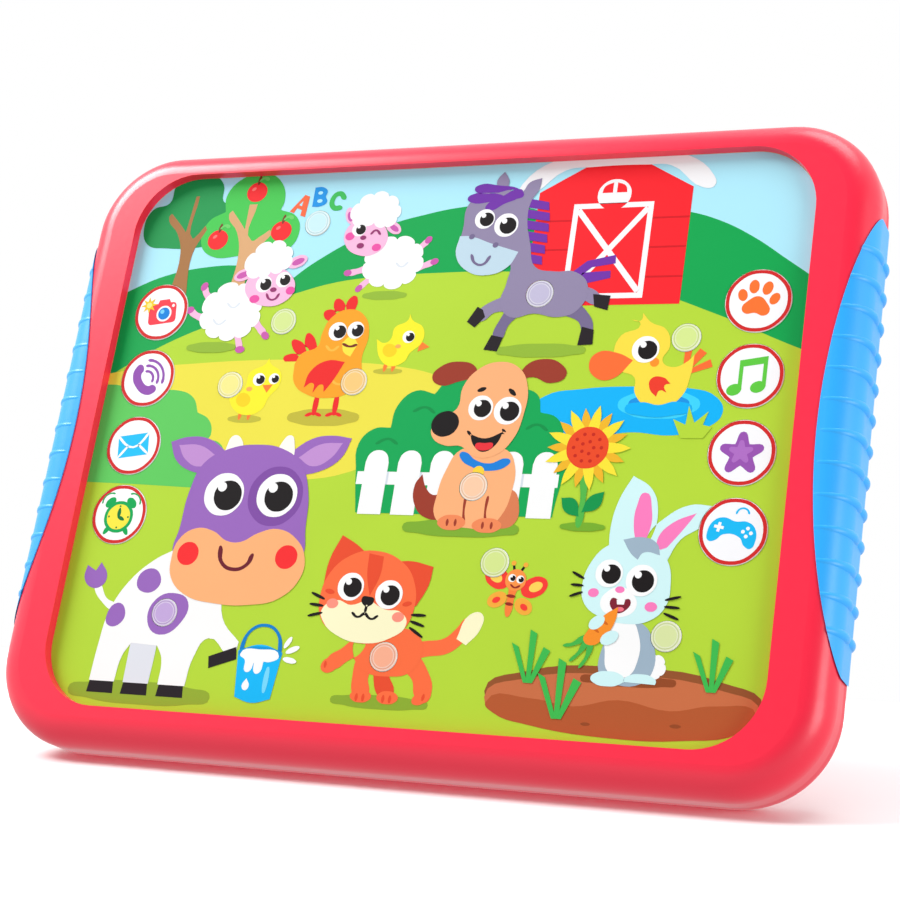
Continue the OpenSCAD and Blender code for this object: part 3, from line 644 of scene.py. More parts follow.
# Printed trees and letters.
# A dark tree and an apple tree stand on the left hill, and three plain letters hang in the sky.
apples = ((-68, 173.9, 5.5), (-78.6, 158.2, 5.2), (-57, 160.4, 5.2))
trees = [
    (
        paint(26, 154, 80),
        soft(
            (-98.6, 171.5), (-97.4, 177.5), (-92, 180.6), (-85, 180.6), (-80.4, 177), (-79.4, 171.4),
            (-76, 169.6), (-74.6, 163.5), (-77.4, 157.6), (-84, 156), (-97, 156), (-103.6, 157.4),
            (-106.2, 163.2), (-104.2, 169.4),
        ),
    ),
    (
        paint(72, 203, 84),
        soft(
            (-80, 152.8), (-84.4, 157.4), (-83.2, 164.4), (-77.8, 167.6, 0), (-78.4, 173.4),
            (-73.2, 179.2), (-66, 180.4), (-59.8, 176.6), (-57.8, 170.6), (-58.6, 167.6, 0),
            (-52.6, 165), (-50.8, 159.4), (-53.4, 154.4), (-58, 152.8), (-69, 152.6, 0),
        ),
    ),
    (
        paint(170, 119, 70),
        soft(
            (-92.2, 139.5, 0), (-91, 154), (-93.4, 160.6), (-97.8, 166.6), (-97, 167.8, 0),
            (-92.6, 163.4), (-90.6, 161.2, 0), (-89.4, 173.4, 0), (-88.2, 173.4, 0), (-87.8, 159),
            (-86.4, 160), (-84, 163.2, 0), (-83.2, 161.8, 0), (-86.6, 154), (-86, 139.5, 0),
        ),
    ),
    (
        paint(222, 172, 122),
        soft(
            (-71.2, 140.5, 0), (-70.4, 154), (-72.4, 160.6), (-76.4, 166.6), (-75.4, 168, 0),
            (-71.4, 163.4), (-69.8, 161.4, 0), (-69.8, 169.8, 0), (-67, 169.8, 0), (-66.8, 157.6),
            (-63.8, 159), (-61, 161, 0), (-60, 159.6, 0), (-65, 152.6), (-66.4, 140.5, 0),
        ),
    ),
    (paint(250, 38, 44), *[oval(x, z, 3.5, 3.3) for x, z, stem in apples]),
    (
        paint(120, 62, 36),
        *[band([(x, z + 2.7), (x + 0.4, z + stem)], 0.6) for x, z, stem in apples],
    ),
    (paint(255, 120, 116), *[oval(x - 1.2, z + 1.1, 0.8, 0.5, 35) for x, z, stem in apples]),
    (
        paint(112, 214, 108),
        *[
            band([(x + 0.3, z + 3.7), (x + 1.6, z + 4.7), (x + 3, z + 4.3)], 0.4, 1.2)
            for x, z, stem in apples
        ],
    ),
]
print_inks("tree_print", trees, die, film_face, "case", 7)

letters = [
    (
        paint(250, 108, 66),
        hard(
            (-55.4, 166.9), (-53.9, 166.3), (-53, 167.9), (-51.3, 167.2), (-51.5, 165.4),
            (-49.8, 164.8), (-49.3, 171.6), (-51, 172.3),
        ),
    ),
    (
        paint(20, 150, 230),
        soft(
            (-48, 168.2, 0), (-45.2, 168.2), (-43.2, 169.6), (-43.9, 171.4), (-43.6, 173.2),
            (-45.4, 174.6), (-48, 174.6, 0),
        ),
    ),
    (
        paint(60, 190, 90),
        band(
            [(-37.6, 170.8), (-39.4, 172.2), (-41.3, 170.6), (-40.8, 167.8), (-38.4, 167.4)], 1.6
        ),
    ),
    (
        sky_blue,
        hard((-52.5, 168.9), (-51.5, 168.5), (-51.3, 170.2)),
        oval(-45.9, 172.7, 0.8, 0.55),
        oval(-45.7, 170, 0.9, 0.6),
    ),
]
print_inks("letter_print", letters, die, film_face, "case", 7)

# Printed sheep.
# Two woolly sheep with pink faces: one looks down at the child, the other winks on the hill.
wool = paint(255, 255, 255)
wool_shade = paint(226, 232, 240)
sheep_pink = paint(250, 190, 225)
sheep_rose = paint(205, 92, 176)
lime_shade = paint(150, 188, 56)
cheek_rose = paint(238, 84, 168)
mouth_plum = paint(150, 50, 110)
near_sheep = [
    (lime_shade, oval(-73.5, 122.6, 8.5, 1.7)),
    (
        sheep_pink,
        band([(-76, 138), (-78.6, 140), (-79.6, 142.2)], 2.2, 1.8),
        band([(-77, 132), (-80.6, 133), (-83, 134.6)], 2.2, 1.8),
        band([(-61, 132), (-58.4, 129), (-56.2, 126.8)], 2.2, 1.8),
        band([(-66, 129), (-64.6, 125), (-63.6, 122.4)], 2.2, 1.8),
    ),
    (
        sheep_rose,
        oval(-79.9, 142.6, 1.5, 1.1, 60),
        oval(-83.4, 134.9, 1.5, 1.1, 20),
        oval(-55.7, 126.2, 1.5, 1.1, -40),
        oval(-63.4, 121.8, 1.6, 1.1, 0),
    ),
    (
        wool,
        cloud(
            [
                (-78.5, 134), (-76.5, 128.6), (-71.5, 126.3), (-66, 126.2), (-61, 129), (-59.5, 134),
                (-62, 139.5), (-68, 142.5), (-75, 140.5),
            ],
            0.3,
        ),
    ),
    (
        wool_shade,
        band([(-74.5, 131.6), (-72.4, 130), (-70.2, 131.4)], 0.5),
        band([(-70.6, 136.8), (-68.4, 135.4), (-66.4, 136.9)], 0.5),
    ),
    (
        sheep_pink,
        oval(-49.4, 150, 3.4, 1.9, 22),
        oval(-66.9, 146.2, 3.4, 1.9, 20),
    ),
    (sheep_rose, oval(-49.1, 150, 2.1, 1.0, 22), oval(-67.3, 146.1, 2.1, 1.0, 20)),
    (sheep_pink, oval(-57.2, 142, 8.6, 6.3, -8)),
    (
        wool,
        cloud(
            [
                (-66.2, 147.4), (-61.8, 145.6), (-58, 147.4), (-54, 147.6), (-51.8, 151.8),
                (-54.2, 155), (-59.2, 156.2), (-64.4, 153.4),
            ],
            0.32,
        ),
    ),
    (cheek_rose, oval(-61.7, 138.1, 1.7, 1.3), oval(-50, 140.6, 1.5, 1.3)),
    *pairs((-59.4, 142.9, 2.7), (-53, 144.2, 2.5)),
    (
        mouth_plum,
        oval(-55.8, 141, 1.1, 0.75),
        band([(-57.8, 139.6), (-56.6, 138), (-54.8, 137.9), (-53.6, 139.5)], 0.6),
    ),
]
print_inks("near_sheep_print", near_sheep, die, film_face, "case", 15)

far_sheep = [
    (lime_shade, oval(-18.6, 138.4, 7.2, 1.4)),
    (
        sheep_pink,
        band([(-25, 147.5), (-28.6, 146.4), (-31.4, 145.8)], 2.0, 1.7),
        band([(-22.5, 145.5), (-25.2, 143), (-27, 141.2)], 2.0, 1.7),
        band([(-11, 152), (-9, 154), (-7.6, 155.4)], 2.0, 1.7),
        band([(-11, 146.5), (-7.4, 147.6), (-4.8, 148.6)], 2.0, 1.7),
    ),
    (
        sheep_rose,
        oval(-31.9, 145.9, 1.3, 1.0, 0),
        oval(-27.4, 140.8, 1.3, 1.0, 50),
        oval(-7.3, 155.8, 1.3, 1.0, 50),
        oval(-4.3, 148.8, 1.3, 1.0, 20),
    ),
    (
        wool,
        cloud(
            [
                (-26.5, 149), (-24.5, 143.8), (-19.5, 142), (-13.5, 142.2), (-9.8, 145.6),
                (-8.8, 150.4), (-11.6, 154.6), (-17.5, 156.2), (-23.5, 154.4),
            ],
            0.3,
        ),
    ),
    (wool_shade, band([(-16.5, 148.6), (-14.6, 147.4), (-12.8, 148.7)], 0.5)),
    (sheep_pink, oval(-34.3, 164.6, 2.9, 1.6, -70), oval(-19.4, 160.2, 3, 1.7, -35)),
    (sheep_rose, oval(-34.4, 164.3, 1.7, 0.8, -70), oval(-19.1, 160, 1.8, 0.8, -35)),
    (sheep_pink, oval(-28, 157.4, 7.4, 6, -18)),
    (
        wool,
        cloud(
            [
                (-33.4, 163.2), (-29.6, 161.8), (-26, 162.6), (-22.4, 160.8), (-18.9, 163.4),
                (-19.2, 167.4), (-22.6, 170.4), (-27.6, 171), (-31.9, 168.6),
            ],
            0.32,
        ),
    ),
    (cheek_rose, oval(-33.3, 157.8, 1.5, 1.3), oval(-23.9, 153.9, 1.5, 1.2)),
    *pairs((-30.6, 160, 2.3)),
    (
        mouth_plum,
        band([(-26.4, 158.4), (-25, 159.5), (-23.4, 158.2)], 0.6),
        oval(-28.8, 157.2, 1.0, 0.7),
        oval(-29.3, 154.6, 1.2, 0.9),
    ),
]
print_inks("far_sheep_print", far_sheep, die, film_face, "case", 7)

# Printed hen and chicks.
# An orange hen with a red comb, wing and tail, and a yellow chick on each side of her.
hen_orange = paint(253, 165, 35)
hen_red = paint(240, 40, 40)
beak_orange = paint(255, 130, 50)
hen = [
    (paint(196, 186, 60), oval(-31.6, 100.4, 11.7, 2.6)),
    (
        hen_red,
        oval(-43.6, 118.4, 4.6, 1.8, -8),
        oval(-42.6, 121.4, 4.8, 1.8, -42),
        oval(-39.6, 122.6, 4.6, 1.8, -66),
        band([(-34.6, 107.5), (-34.8, 101.4)], 1.0),
        band([(-28.2, 107.5), (-28.2, 101.4)], 1.0),
    ),
    (
        hen_red,
        oval(-34.6, 132.2, 3.0, 1.8, -24),
        oval(-32.4, 134.8, 3.2, 1.8, -60),
        oval(-28.8, 135.4, 3.2, 1.8, 76),
        band([(-37.2, 101), (-34.8, 101.6), (-32.6, 101)], 0.8),
        band([(-30.6, 101), (-28.2, 101.6), (-26, 101)], 0.8),
    ),
    (
        hen_orange,
        soft(
            (-29, 134.2), (-34.6, 131.6), (-36.8, 126.4), (-37.4, 122.6), (-42.4, 120.2), (-44, 117, 0),
            (-43, 111), (-38, 107.4), (-31, 106.4), (-25, 108), (-21.8, 113), (-22.4, 119),
            (-21.4, 126), (-23.6, 131.8),
        ),
    ),
    (
        paint(255, 190, 70),
        band([(-31.4, 112.4), (-28.4, 110.6), (-25.4, 112.2)], 0.6),
        band([(-34.6, 122.6), (-32.6, 121.2), (-30.6, 122.4)], 0.6),
    ),
    (
        hen_red,
        soft(
            (-27.6, 117.6, 0), (-33.6, 118), (-38.4, 114.6), (-39.6, 109.6, 0), (-36.8, 111),
            (-36.4, 108, 0), (-33.8, 110.6), (-32.8, 108.2, 0), (-30.4, 111.8),
        ),
    ),
    (
        paint(250, 232, 70),
        soft((-29.6, 123.6, 0), (-27, 125.6), (-24.4, 123.2, 0), (-26.2, 119.2, 0), (-28.6, 120.6)),
    ),
    (paint(120, 40, 30), band([(-29.2, 123.2), (-27, 122.4), (-24.8, 122.9)], 0.6)),
    *pairs((-31.7, 127.2, 2.9), (-25.9, 127.5, 2.7)),
]
print_inks("hen_print", hen, die, film_face, "case", 7)

chick_yellow = paint(253, 242, 44)
chicks = [
    (
        paint(196, 190, 62),
        oval(-57.4, 99.8, 5.6, 1.2),
        oval(-13.4, 114.6, 4.6, 0.9),
    ),
    (
        beak_orange,
        band([(-59, 102), (-59.2, 99.8)], 0.7),
        band([(-56, 102), (-56.2, 99.8)], 0.7),
        band([(-14.2, 117.5), (-14.6, 114.8)], 0.7),
        band([(-11.6, 117.5), (-12, 114.8)], 0.7),
        hard((-4.6, 124), (-1.4, 122), (-5, 120.6)),
    ),
    (
        chick_yellow,
        soft(
            (-53.6, 117.2), (-52.8, 119, 0), (-52, 117.3), (-48.2, 114.6), (-47.8, 110.4),
            (-50.6, 106.6), (-52.2, 102.8), (-57.4, 101), (-62, 103.2), (-64.4, 107.8, 0),
            (-61.4, 107.6), (-59.2, 109.6), (-58.4, 114.4),
        ),
        soft(
            (-9.6, 130.4), (-9.2, 132.4, 0), (-8.2, 130.5), (-4.4, 128), (-4, 123.6), (-7.4, 120),
            (-8.6, 117.6), (-13, 116.2), (-16.6, 118.6), (-18.6, 124.6, 0), (-16, 123.4),
            (-14.2, 124.4), (-13.4, 128.2),
        ),
    ),
    (
        paint(250, 214, 30),
        soft((-61, 107.2), (-57.6, 107.4), (-56.8, 104.6), (-60.2, 104)),
        soft((-15.8, 122.4), (-12.6, 122.6), (-11.8, 120), (-15, 119.4)),
    ),
    (beak_orange, soft((-53.4, 110.4, 0), (-50, 110.6, 0), (-51.6, 108, 0))),
    (paint(255, 176, 90), oval(-57.6, 109.2, 1.0, 0.7), oval(-11.4, 122.3, 0.9, 0.6)),
    *pairs((-54.9, 112.2, 2.0), (-49.9, 112.4, 1.7), (-8.5, 125.2, 1.9)),
]
print_inks("chick_print", chicks, die, film_face, "case", 7)

# Printed barn and horse.
# A red barn with a white roof edge and a crossed door, and a grey-violet horse at a gallop before it.
barn_red = paint(253, 33, 44)
board_line = paint(214, 22, 34)
roof_white = paint(250, 250, 252)
barn = [
    (
        barn_red,
        hard((25.5, 134), (71.3, 134), (71.3, 169.5), (57.4, 177.4), (39.4, 177.4), (25.5, 169.5)),
    ),
    (
        board_line,
        *[
            hard((26, z), (71.2, z), (71.2, z + 0.6), (26, z + 0.6))
            for z in (142, 151, 160)
        ],
    ),
    (
        roof_white,
        band(
            [(21, 170.8), (31.8, 178.4), (40, 179.2), (57, 179.2), (65, 178.4), (75.6, 170.8)],
            4.4,
        ),
        oval(48.3, 168, 5.0, 4.8),
        hard((36.6, 136), (60.4, 136), (60.4, 165.4), (36.6, 165.4)),
    ),
    (
        barn_red,
        hard((38.2, 137.6), (58.8, 137.6), (58.8, 163.8), (38.2, 163.8)),
        hard((43, 163.6), (53.6, 163.6), (53.6, 167.2), (43, 167.2)),
        soft((44.6, 168.6, 0), (45.2, 170.6), (47.7, 171.8, 0), (47.7, 168.6, 0)),
        soft((52, 168.6, 0), (48.9, 168.6, 0), (48.9, 171.8, 0), (51.4, 170.6)),
    ),
    (
        roof_white,
        hard((37.6, 138.6), (38.8, 137.4), (59.4, 162.8), (58.2, 164)),
    ),
    (
        roof_white,
        hard((59.4, 138.6), (58.2, 137.4), (37.6, 162.8), (38.8, 164)),
    ),
]
print_inks("barn_print", barn, die, film_face, "case", 7)

coat_grey = paint(148, 137, 170)
coat_shade = paint(120, 108, 146)
mane_violet = paint(115, 50, 170)
muzzle_pale = paint(195, 220, 235)
hoof_black = paint(34, 26, 32)
horse = [
    (lime_shade, oval(32.6, 120.6, 13.4, 2)),
    (
        mane_violet,
        hard((38, 140), (44.6, 145.6), (51.4, 146.6), (51.2, 149.2), (43, 147.6), (36.6, 142.4)),
        hard((40, 140), (50.4, 142.2), (50.2, 144.4), (42, 144)),
    ),
    (
        coat_shade,
        band([(24, 134), (20.4, 129), (19, 124.4)], 3.6, 3.0),
        band([(38, 134), (44, 130.4), (46, 126.4)], 4.2, 3.0),
    ),
    (
        coat_grey,
        band([(22.6, 135), (16.4, 134), (12.8, 131)], 4.2, 3.2),
        band([(39, 137), (43.4, 137.6), (47.4, 135.6)], 5.0, 3.2),
    ),
    (
        hoof_black,
        hard((13.4, 133.2), (11.6, 134.2), (9, 129.6), (11.6, 127.8), (14.4, 131)),
        hard((17.2, 125.4), (20.8, 124.6), (19.6, 120.4), (15.4, 121)),
        hard((46, 137.4), (46.8, 133.6), (50.8, 132.4), (51.2, 136.8)),
        hard((44, 127.6), (47.6, 126.6), (47.8, 122.2), (43.4, 122)),
    ),
    (
        mane_violet,
        *[
            hard((21.6, z + 3), (28.8 + dx, z + 1.4), (29.2 + dx, z - 1.2), (21.6, z + 0.2))
            for z, dx in ((165, 0), (161.6, 0.6), (158.2, 0.8), (154.8, 0.8), (151.4, 0.6), (148, 0.2))
        ],
    ),
    (
        coat_grey,
        soft(
            (3.2, 160), (3.6, 166.4), (8, 170.2), (12, 170.4), (11.6, 174), (13.6, 176.8, 0),
            (15.4, 174), (15.6, 171.6), (19.6, 169.8), (22, 173), (25.6, 174.2, 0), (25.2, 170.6),
            (23.4, 167.4), (22.8, 162), (25, 153), (27.4, 146.2), (33.6, 144.6), (40, 144.2),
            (44.2, 139.6), (42, 132.6), (36.6, 130.6), (29, 131.8), (22, 130.8), (18.4, 135),
            (19.4, 141.4), (19, 148), (10, 147), (3.6, 152),
        ),
    ),
    (
        muzzle_pale,
        soft(
            (2.6, 156.6, 0), (6, 156.4), (12.6, 154), (21.6, 151, 0), (19, 146.4), (13, 144),
            (6.6, 145.4), (2.2, 150.6),
        ),
    ),
    (
        mane_violet,
        band([(6.2, 171.6), (12, 171.2), (19.4, 169.2)], 2.6),
        band([(4.4, 168.6), (11, 168.6), (18.6, 169.4)], 2.6),
    ),
    (mane_violet, band([(10.4, 165.6), (14.4, 167.6), (19, 169.8)], 2.6)),
    *pairs((9.6, 161.8, 3.1, 0.2), (16.6, 159.6, 3.7, 0.15)),
    (
        coat_shade,
        oval(6.4, 156.3, 0.9, 0.8, 30),
        oval(14.2, 153.4, 0.9, 0.8, 30),
        band([(7.2, 150.4), (8.6, 147.9), (11.2, 147.4), (13, 149.8)], 0.7),
    ),
]
print_inks("horse_print", horse, die, film_face, "case", 14)

# Printed pond and duck.
# A blue pond with two ripples, and a yellow duck with an orange beak afloat on it.
duck_yellow = paint(251, 225, 70)
duck_beak = paint(255, 112, 52)
pond_blue = paint(0, 182, 250)
pond = [
    (
        pond_blue,
        soft(
            (32.4, 103), (35, 98.6), (42, 95.8), (52, 95.2), (62, 96.6), (74, 95.8), (83, 98),
            (87, 102.2), (85, 106.6), (76, 109.4), (62, 109.8), (46, 109), (36, 107),
        ),
    ),
    (paint(60, 214, 255), oval(69, 104.6, 11.6, 4.1)),
    (paint(20, 150, 232), oval(69, 104.8, 8.6, 2.8)),
]
print_inks("pond_print", pond, die, film_face, "case", 7)

duck = [
    (
        duck_beak,
        hard((75, 115.4), (78.8, 120.8), (80.8, 119.4), (76.4, 114.4)),
        hard((74.6, 116), (74.6, 121.4), (76.8, 121.4), (76, 115.4)),
        hard((76, 114.6), (82, 117.6), (82.8, 115.4), (76.6, 113.4)),
    ),
    (
        duck_yellow,
        soft(
            (61, 128), (57.4, 129.8, 0), (61, 129.2), (61.4, 131.4, 0), (64, 128.6), (68.6, 126.4),
            (70.2, 121.4), (68.6, 117.2), (71.4, 115.4), (75.4, 116.8), (77.4, 119, 0), (77, 113),
            (75.2, 107), (70.4, 103.6), (65.4, 104.2), (61.8, 108), (61.2, 112.4), (56.8, 114.6),
            (54.4, 119.2), (55.8, 124.8),
        ),
    ),
    (
        duck_beak,
        soft((60.2, 117.4, 0), (55.6, 119.6), (49.6, 119.8), (47.6, 116.6), (50, 112.4), (54.8, 112)),
    ),
    (paint(255, 150, 40), oval(66.4, 116.8, 1.3)),
    (
        paint(240, 60, 40),
        soft(
            (66, 112), (69.4, 112.4), (71.6, 110.6, 0), (70, 110), (70.8, 108, 0), (68.8, 108.6),
            (68, 106.8, 0), (66, 109),
        ),
    ),
    *pairs((63.4, 120.6, 3.9, 0.15)),
    (
        pond_blue,
        soft((59.6, 103.4), (64, 105.2), (69, 104.4), (74, 105.4), (78.4, 103.4), (74, 101.6), (64, 101.4)),
    ),
    (
        lime,
        soft(
            (76.2, 95, 0), (73.6, 100.4, 0), (77.2, 98.8, 0), (77.6, 104.2, 0), (79.6, 99.4, 0),
            (83.2, 102.6, 0), (82, 98.8, 0), (84.6, 98.2, 0), (82.4, 95, 0),
        ),
    ),
]
print_inks("duck_print", duck, die, film_face, "case", 10)

# Printed sunflower.
# Two rings of pointed petals in two yellows round a red heart, on a green stem with two leaves.
petal_count = 9


def petals(x, z, near, long, wide, turned):
    """Pointed petals that stand round the heart."""
    out = []
    for i in range(petal_count):
        r = math.radians(i * 360 / petal_count + turned)
        c, t = math.cos(r), math.sin(r)
        knots = ((near, wide * 0.5), (near + (long - near) * 0.55, wide), (long, 0))
        sides = [(a, b, True) for a, b in knots[:2]] + [(long, 0, False)]
        sides += [(a, -b, True) for a, b in knots[1::-1]]
        out.append([(x + a * c - b * t, z + a * t + b * c, k) for a, b, k in sides])
    return out


sunflower = [
    (paint(120, 176, 44), oval(52, 69.6, 6.4, 1.2)),
    (paint(84, 186, 74), band([(50.6, 84), (51.2, 77), (50.8, 70)], 1.5)),
    (
        paint(3, 150, 75),
        soft((50.6, 72.4, 0), (46.4, 73.8), (45, 77.6, 0), (49, 77.2)),
        soft((51.2, 73.6, 0), (53, 78), (57, 79.6, 0), (55.8, 75)),
    ),
    (paint(244, 186, 40), *petals(50.5, 92, 4, 11.6, 1.2, 20)),
    (paint(252, 232, 56), *petals(50.5, 92, 4, 12.4, 1.3, 0)),
    (paint(239, 75, 35), oval(50.5, 92, 6)),
    (
        paint(200, 40, 24),
        *[
            oval(50.5 + r * math.cos(t), 92 + r * math.sin(t), 0.5)
            for r, n in ((1.8, 5), (4, 10))
            for t in [6.283 * i / n for i in range(n)]
        ],
    ),
]
print_inks("sunflower_print", sunflower, die, film_face, "case", 22)

# Printed bush, fence and dog.
# A dark bush, six white pickets on a rail, and a tan dog with brown ears who sits before them.
bush_green = paint(3, 168, 85)
picket_white = paint(252, 252, 252)
dog_tan = paint(255, 180, 125)
dog_brown = paint(158, 58, 40)
dog_shade = paint(222, 128, 84)


def picket(x, low, high, wide):
    """A board with a round top."""
    half = wide / 2
    return soft(
        (x - half, low, 0),
        (x + half, low, 0),
        (x + half, high - half, 0),
        (x + half * 0.72, high - half * 0.3),
        (x, high),
        (x - half * 0.72, high - half * 0.3),
        (x - half, high - half, 0),
    )


bush_fence = [
    (
        bush_green,
        soft(
            (-16, 72, 0), (-18, 84), (-18.6, 92.6), (-14.6, 97), (-9.4, 97.4, 0), (-8.4, 104),
            (-3.4, 108.6), (2.6, 107.6, 0), (6.6, 112.2), (13.6, 112.6), (20, 108, 0), (27, 109),
            (33.6, 107.6), (35.4, 102.2, 0), (40.4, 100.6), (43, 95.8), (42, 90.6, 0), (46, 87.6),
            (44.6, 83.4, 0), (43.4, 76), (43, 72, 0),
        ),
    ),
    (
        paint(0, 146, 72),
        band([(-13, 92.6), (-9.6, 94), (-6.6, 92.6)], 0.7),
        band([(-3, 102.4), (0.4, 103.6), (3.4, 102)], 0.7),
        band([(32, 97.4), (35, 98.6), (38, 97)], 0.7),
    ),
    (picket_white, hard((-17.4, 80.4), (43.4, 80.4), (43.4, 84.2), (-17.4, 84.2))),
    (
        picket_white,
        *[picket(x, 71.6, 90.6, 7.2) for x in (-11.8, -1.6, 8.5, 18.6, 29, 39)],
    ),
    (
        paint(214, 224, 234),
        *[
            hard((x, 80.4), (x + 0.6, 80.4), (x + 0.6, 84.2), (x, 84.2))
            for x in (-8.2, 2, 12.1, 22.2, 32.6)
        ],
    ),
]
print_inks("fence_print", bush_fence, die, film_face, "case", 10)

dog = [
    (paint(128, 176, 48), oval(16.6, 68.2, 17.4, 2.4)),
    (
        dog_brown,
        soft(
            (10.6, 71.2), (5.8, 71), (2, 74.4), (1, 80.4), (2.8, 83.6, 0), (4.6, 79.6), (7.2, 77.6),
            (10.8, 78.4),
        ),
        soft(
            (14.6, 112.6, 0), (9.6, 111.4), (4, 110.2), (1, 112.6), (3, 115.8), (9, 117.4), (14, 115.6),
        ),
        soft(
            (27.2, 111.4, 0), (31.6, 112.6), (37, 110.8), (41.4, 113), (39.6, 116.4), (34, 118),
            (29, 116),
        ),
    ),
    (
        dog_shade,
        soft((24.6, 78), (30.4, 79.6), (33, 75.2), (32.4, 70), (28.6, 68.4), (23.8, 69.6)),
    ),
    (
        dog_tan,
        soft(
            (13.4, 91), (9.8, 85), (8.2, 77.6), (8.4, 71.6), (11.4, 69.2), (17.8, 68.4), (24.6, 68.6),
            (28.2, 72), (30.4, 79.6), (30.2, 86.4), (27.2, 91),
        ),
    ),
    (
        dog_brown,
        band([(17, 77.6), (17, 73), (17.6, 69.6)], 0.6),
        band([(23.6, 77.4), (23.4, 73), (24, 69.6)], 0.6),
    ),
    (
        paint(245, 140, 90),
        oval(13.8, 69.8, 4.2, 2.2),
        oval(24.4, 69.2, 4.4, 2.1),
    ),
    (
        dog_brown,
        band([(12.6, 69), (12.6, 70.6)], 0.5),
        band([(15, 69), (15, 70.6)], 0.5),
        band([(23.2, 68.4), (23.2, 70)], 0.5),
        band([(25.8, 68.4), (25.8, 70)], 0.5),
    ),
    (
        paint(20, 130, 220),
        band([(14.2, 89.4), (17.8, 87), (22.8, 86), (27.6, 87.6)], 2.2),
    ),
    (paint(255, 214, 60), oval(19.6, 84.6, 1.7)),
    (
        dog_tan,
        soft(
            (14.4, 114.6), (20.8, 117.2), (27.4, 115.2), (30.6, 109.4), (30.6, 102), (28.2, 93.8),
            (23.6, 89.4), (17.6, 89), (13.2, 92), (8.2, 92.2), (4.2, 94.4), (3.4, 97.4), (6, 100.6),
            (10.2, 103.2), (11, 109.6),
        ),
    ),
    (
        INK_BLACK,
        oval(7.3, 98.6, 4.2, 3.8, 15),
        soft((15.4, 95.6, 0), (20.2, 94.4), (25.2, 96.4, 0), (23.6, 92.6), (20, 90.4), (17, 92.2)),
        band([(14.6, 96.4), (15.6, 95.4)], 0.6),
        band([(25, 97), (25.9, 96)], 0.6),
        band([(16, 108.6), (17.8, 109.2)], 0.9),
        band([(25.4, 108.8), (27, 107.4)], 0.9),
    ),
    (paint(236, 50, 60), soft((17.4, 92.4), (20.2, 93), (22.8, 92.6), (20, 90.8))),
    *pairs((17.4, 103.4, 3.7, 0.15), (25.6, 102.6, 4.1, 0.15)),
]
print_inks("dog_print", dog, die, film_face, "case", 15)

# Printed cow and bucket.
# A violet-headed cow with a peach muzzle and white body, and a blue bucket of milk at her hoof.
cow_violet = paint(155, 105, 190)
cow_deep = paint(130, 78, 166)
cow_white = paint(254, 253, 252)
peach = paint(255, 181, 123)
cow_body = [
    (paint(148, 176, 50), oval(-75, 16.6, 23.6, 3.3)),
    (cow_white, band([(-88, 41), (-92.4, 43.2), (-96.2, 48)], 1.8)),
    (
        cow_violet,
        soft(
            (-94.2, 47.6), (-93.2, 50.6), (-96, 54.6, 0), (-97.4, 52, 0), (-100.6, 53.6, 0),
            (-100.8, 49.6), (-97.6, 46.8),
        ),
    ),
    (
        hoof_black,
        *[
            hard((x - 4.4, 16), (x + 4.4, 16), (x + 3.9, 20.2), (x - 3.9, 20.2))
            for x in (-87.8, -76.4, -64.6)
        ],
    ),
    (
        paint(228, 230, 238),
        soft(
            (-80.4, 40, 0), (-72.2, 40, 0), (-71.8, 30), (-72.2, 19.4, 0), (-80.6, 19.4, 0),
            (-80.6, 30),
        ),
    ),
    (
        cow_white,
        soft(
            (-72.5, 59, 0), (-78, 56), (-85.4, 49), (-90, 40), (-91.4, 30), (-92, 19.4, 0),
            (-83.6, 19.4, 0), (-82.6, 27), (-80.4, 31, 0), (-71.6, 30.6, 0), (-69.4, 27),
            (-69, 19.4, 0), (-60.2, 19.4, 0), (-59, 28), (-55.4, 33.6), (-46.6, 29.2), (-45.4, 33, 0),
            (-52, 39.6), (-53.6, 50), (-54, 59, 0),
        ),
    ),
    (hoof_black, hard((-54.2, 28.4), (-45.8, 31.6), (-45.2, 28), (-53.6, 25))),
    (
        cow_violet,
        soft((-80.6, 46.4), (-82.6, 49.6), (-79.6, 53.2), (-75.4, 51.8), (-75.2, 47.6)),
        soft((-87.6, 42.6), (-84.6, 40.4), (-85.4, 36.6), (-89.4, 35.8), (-90.6, 38.4)),
        soft((-68.4, 46.2), (-64.2, 43.8), (-65, 38.2), (-71.6, 33.8), (-76.4, 37.4), (-75, 44.2)),
    ),
]
print_inks("cow_body_print", cow_body, die, film_face, "case", 7)

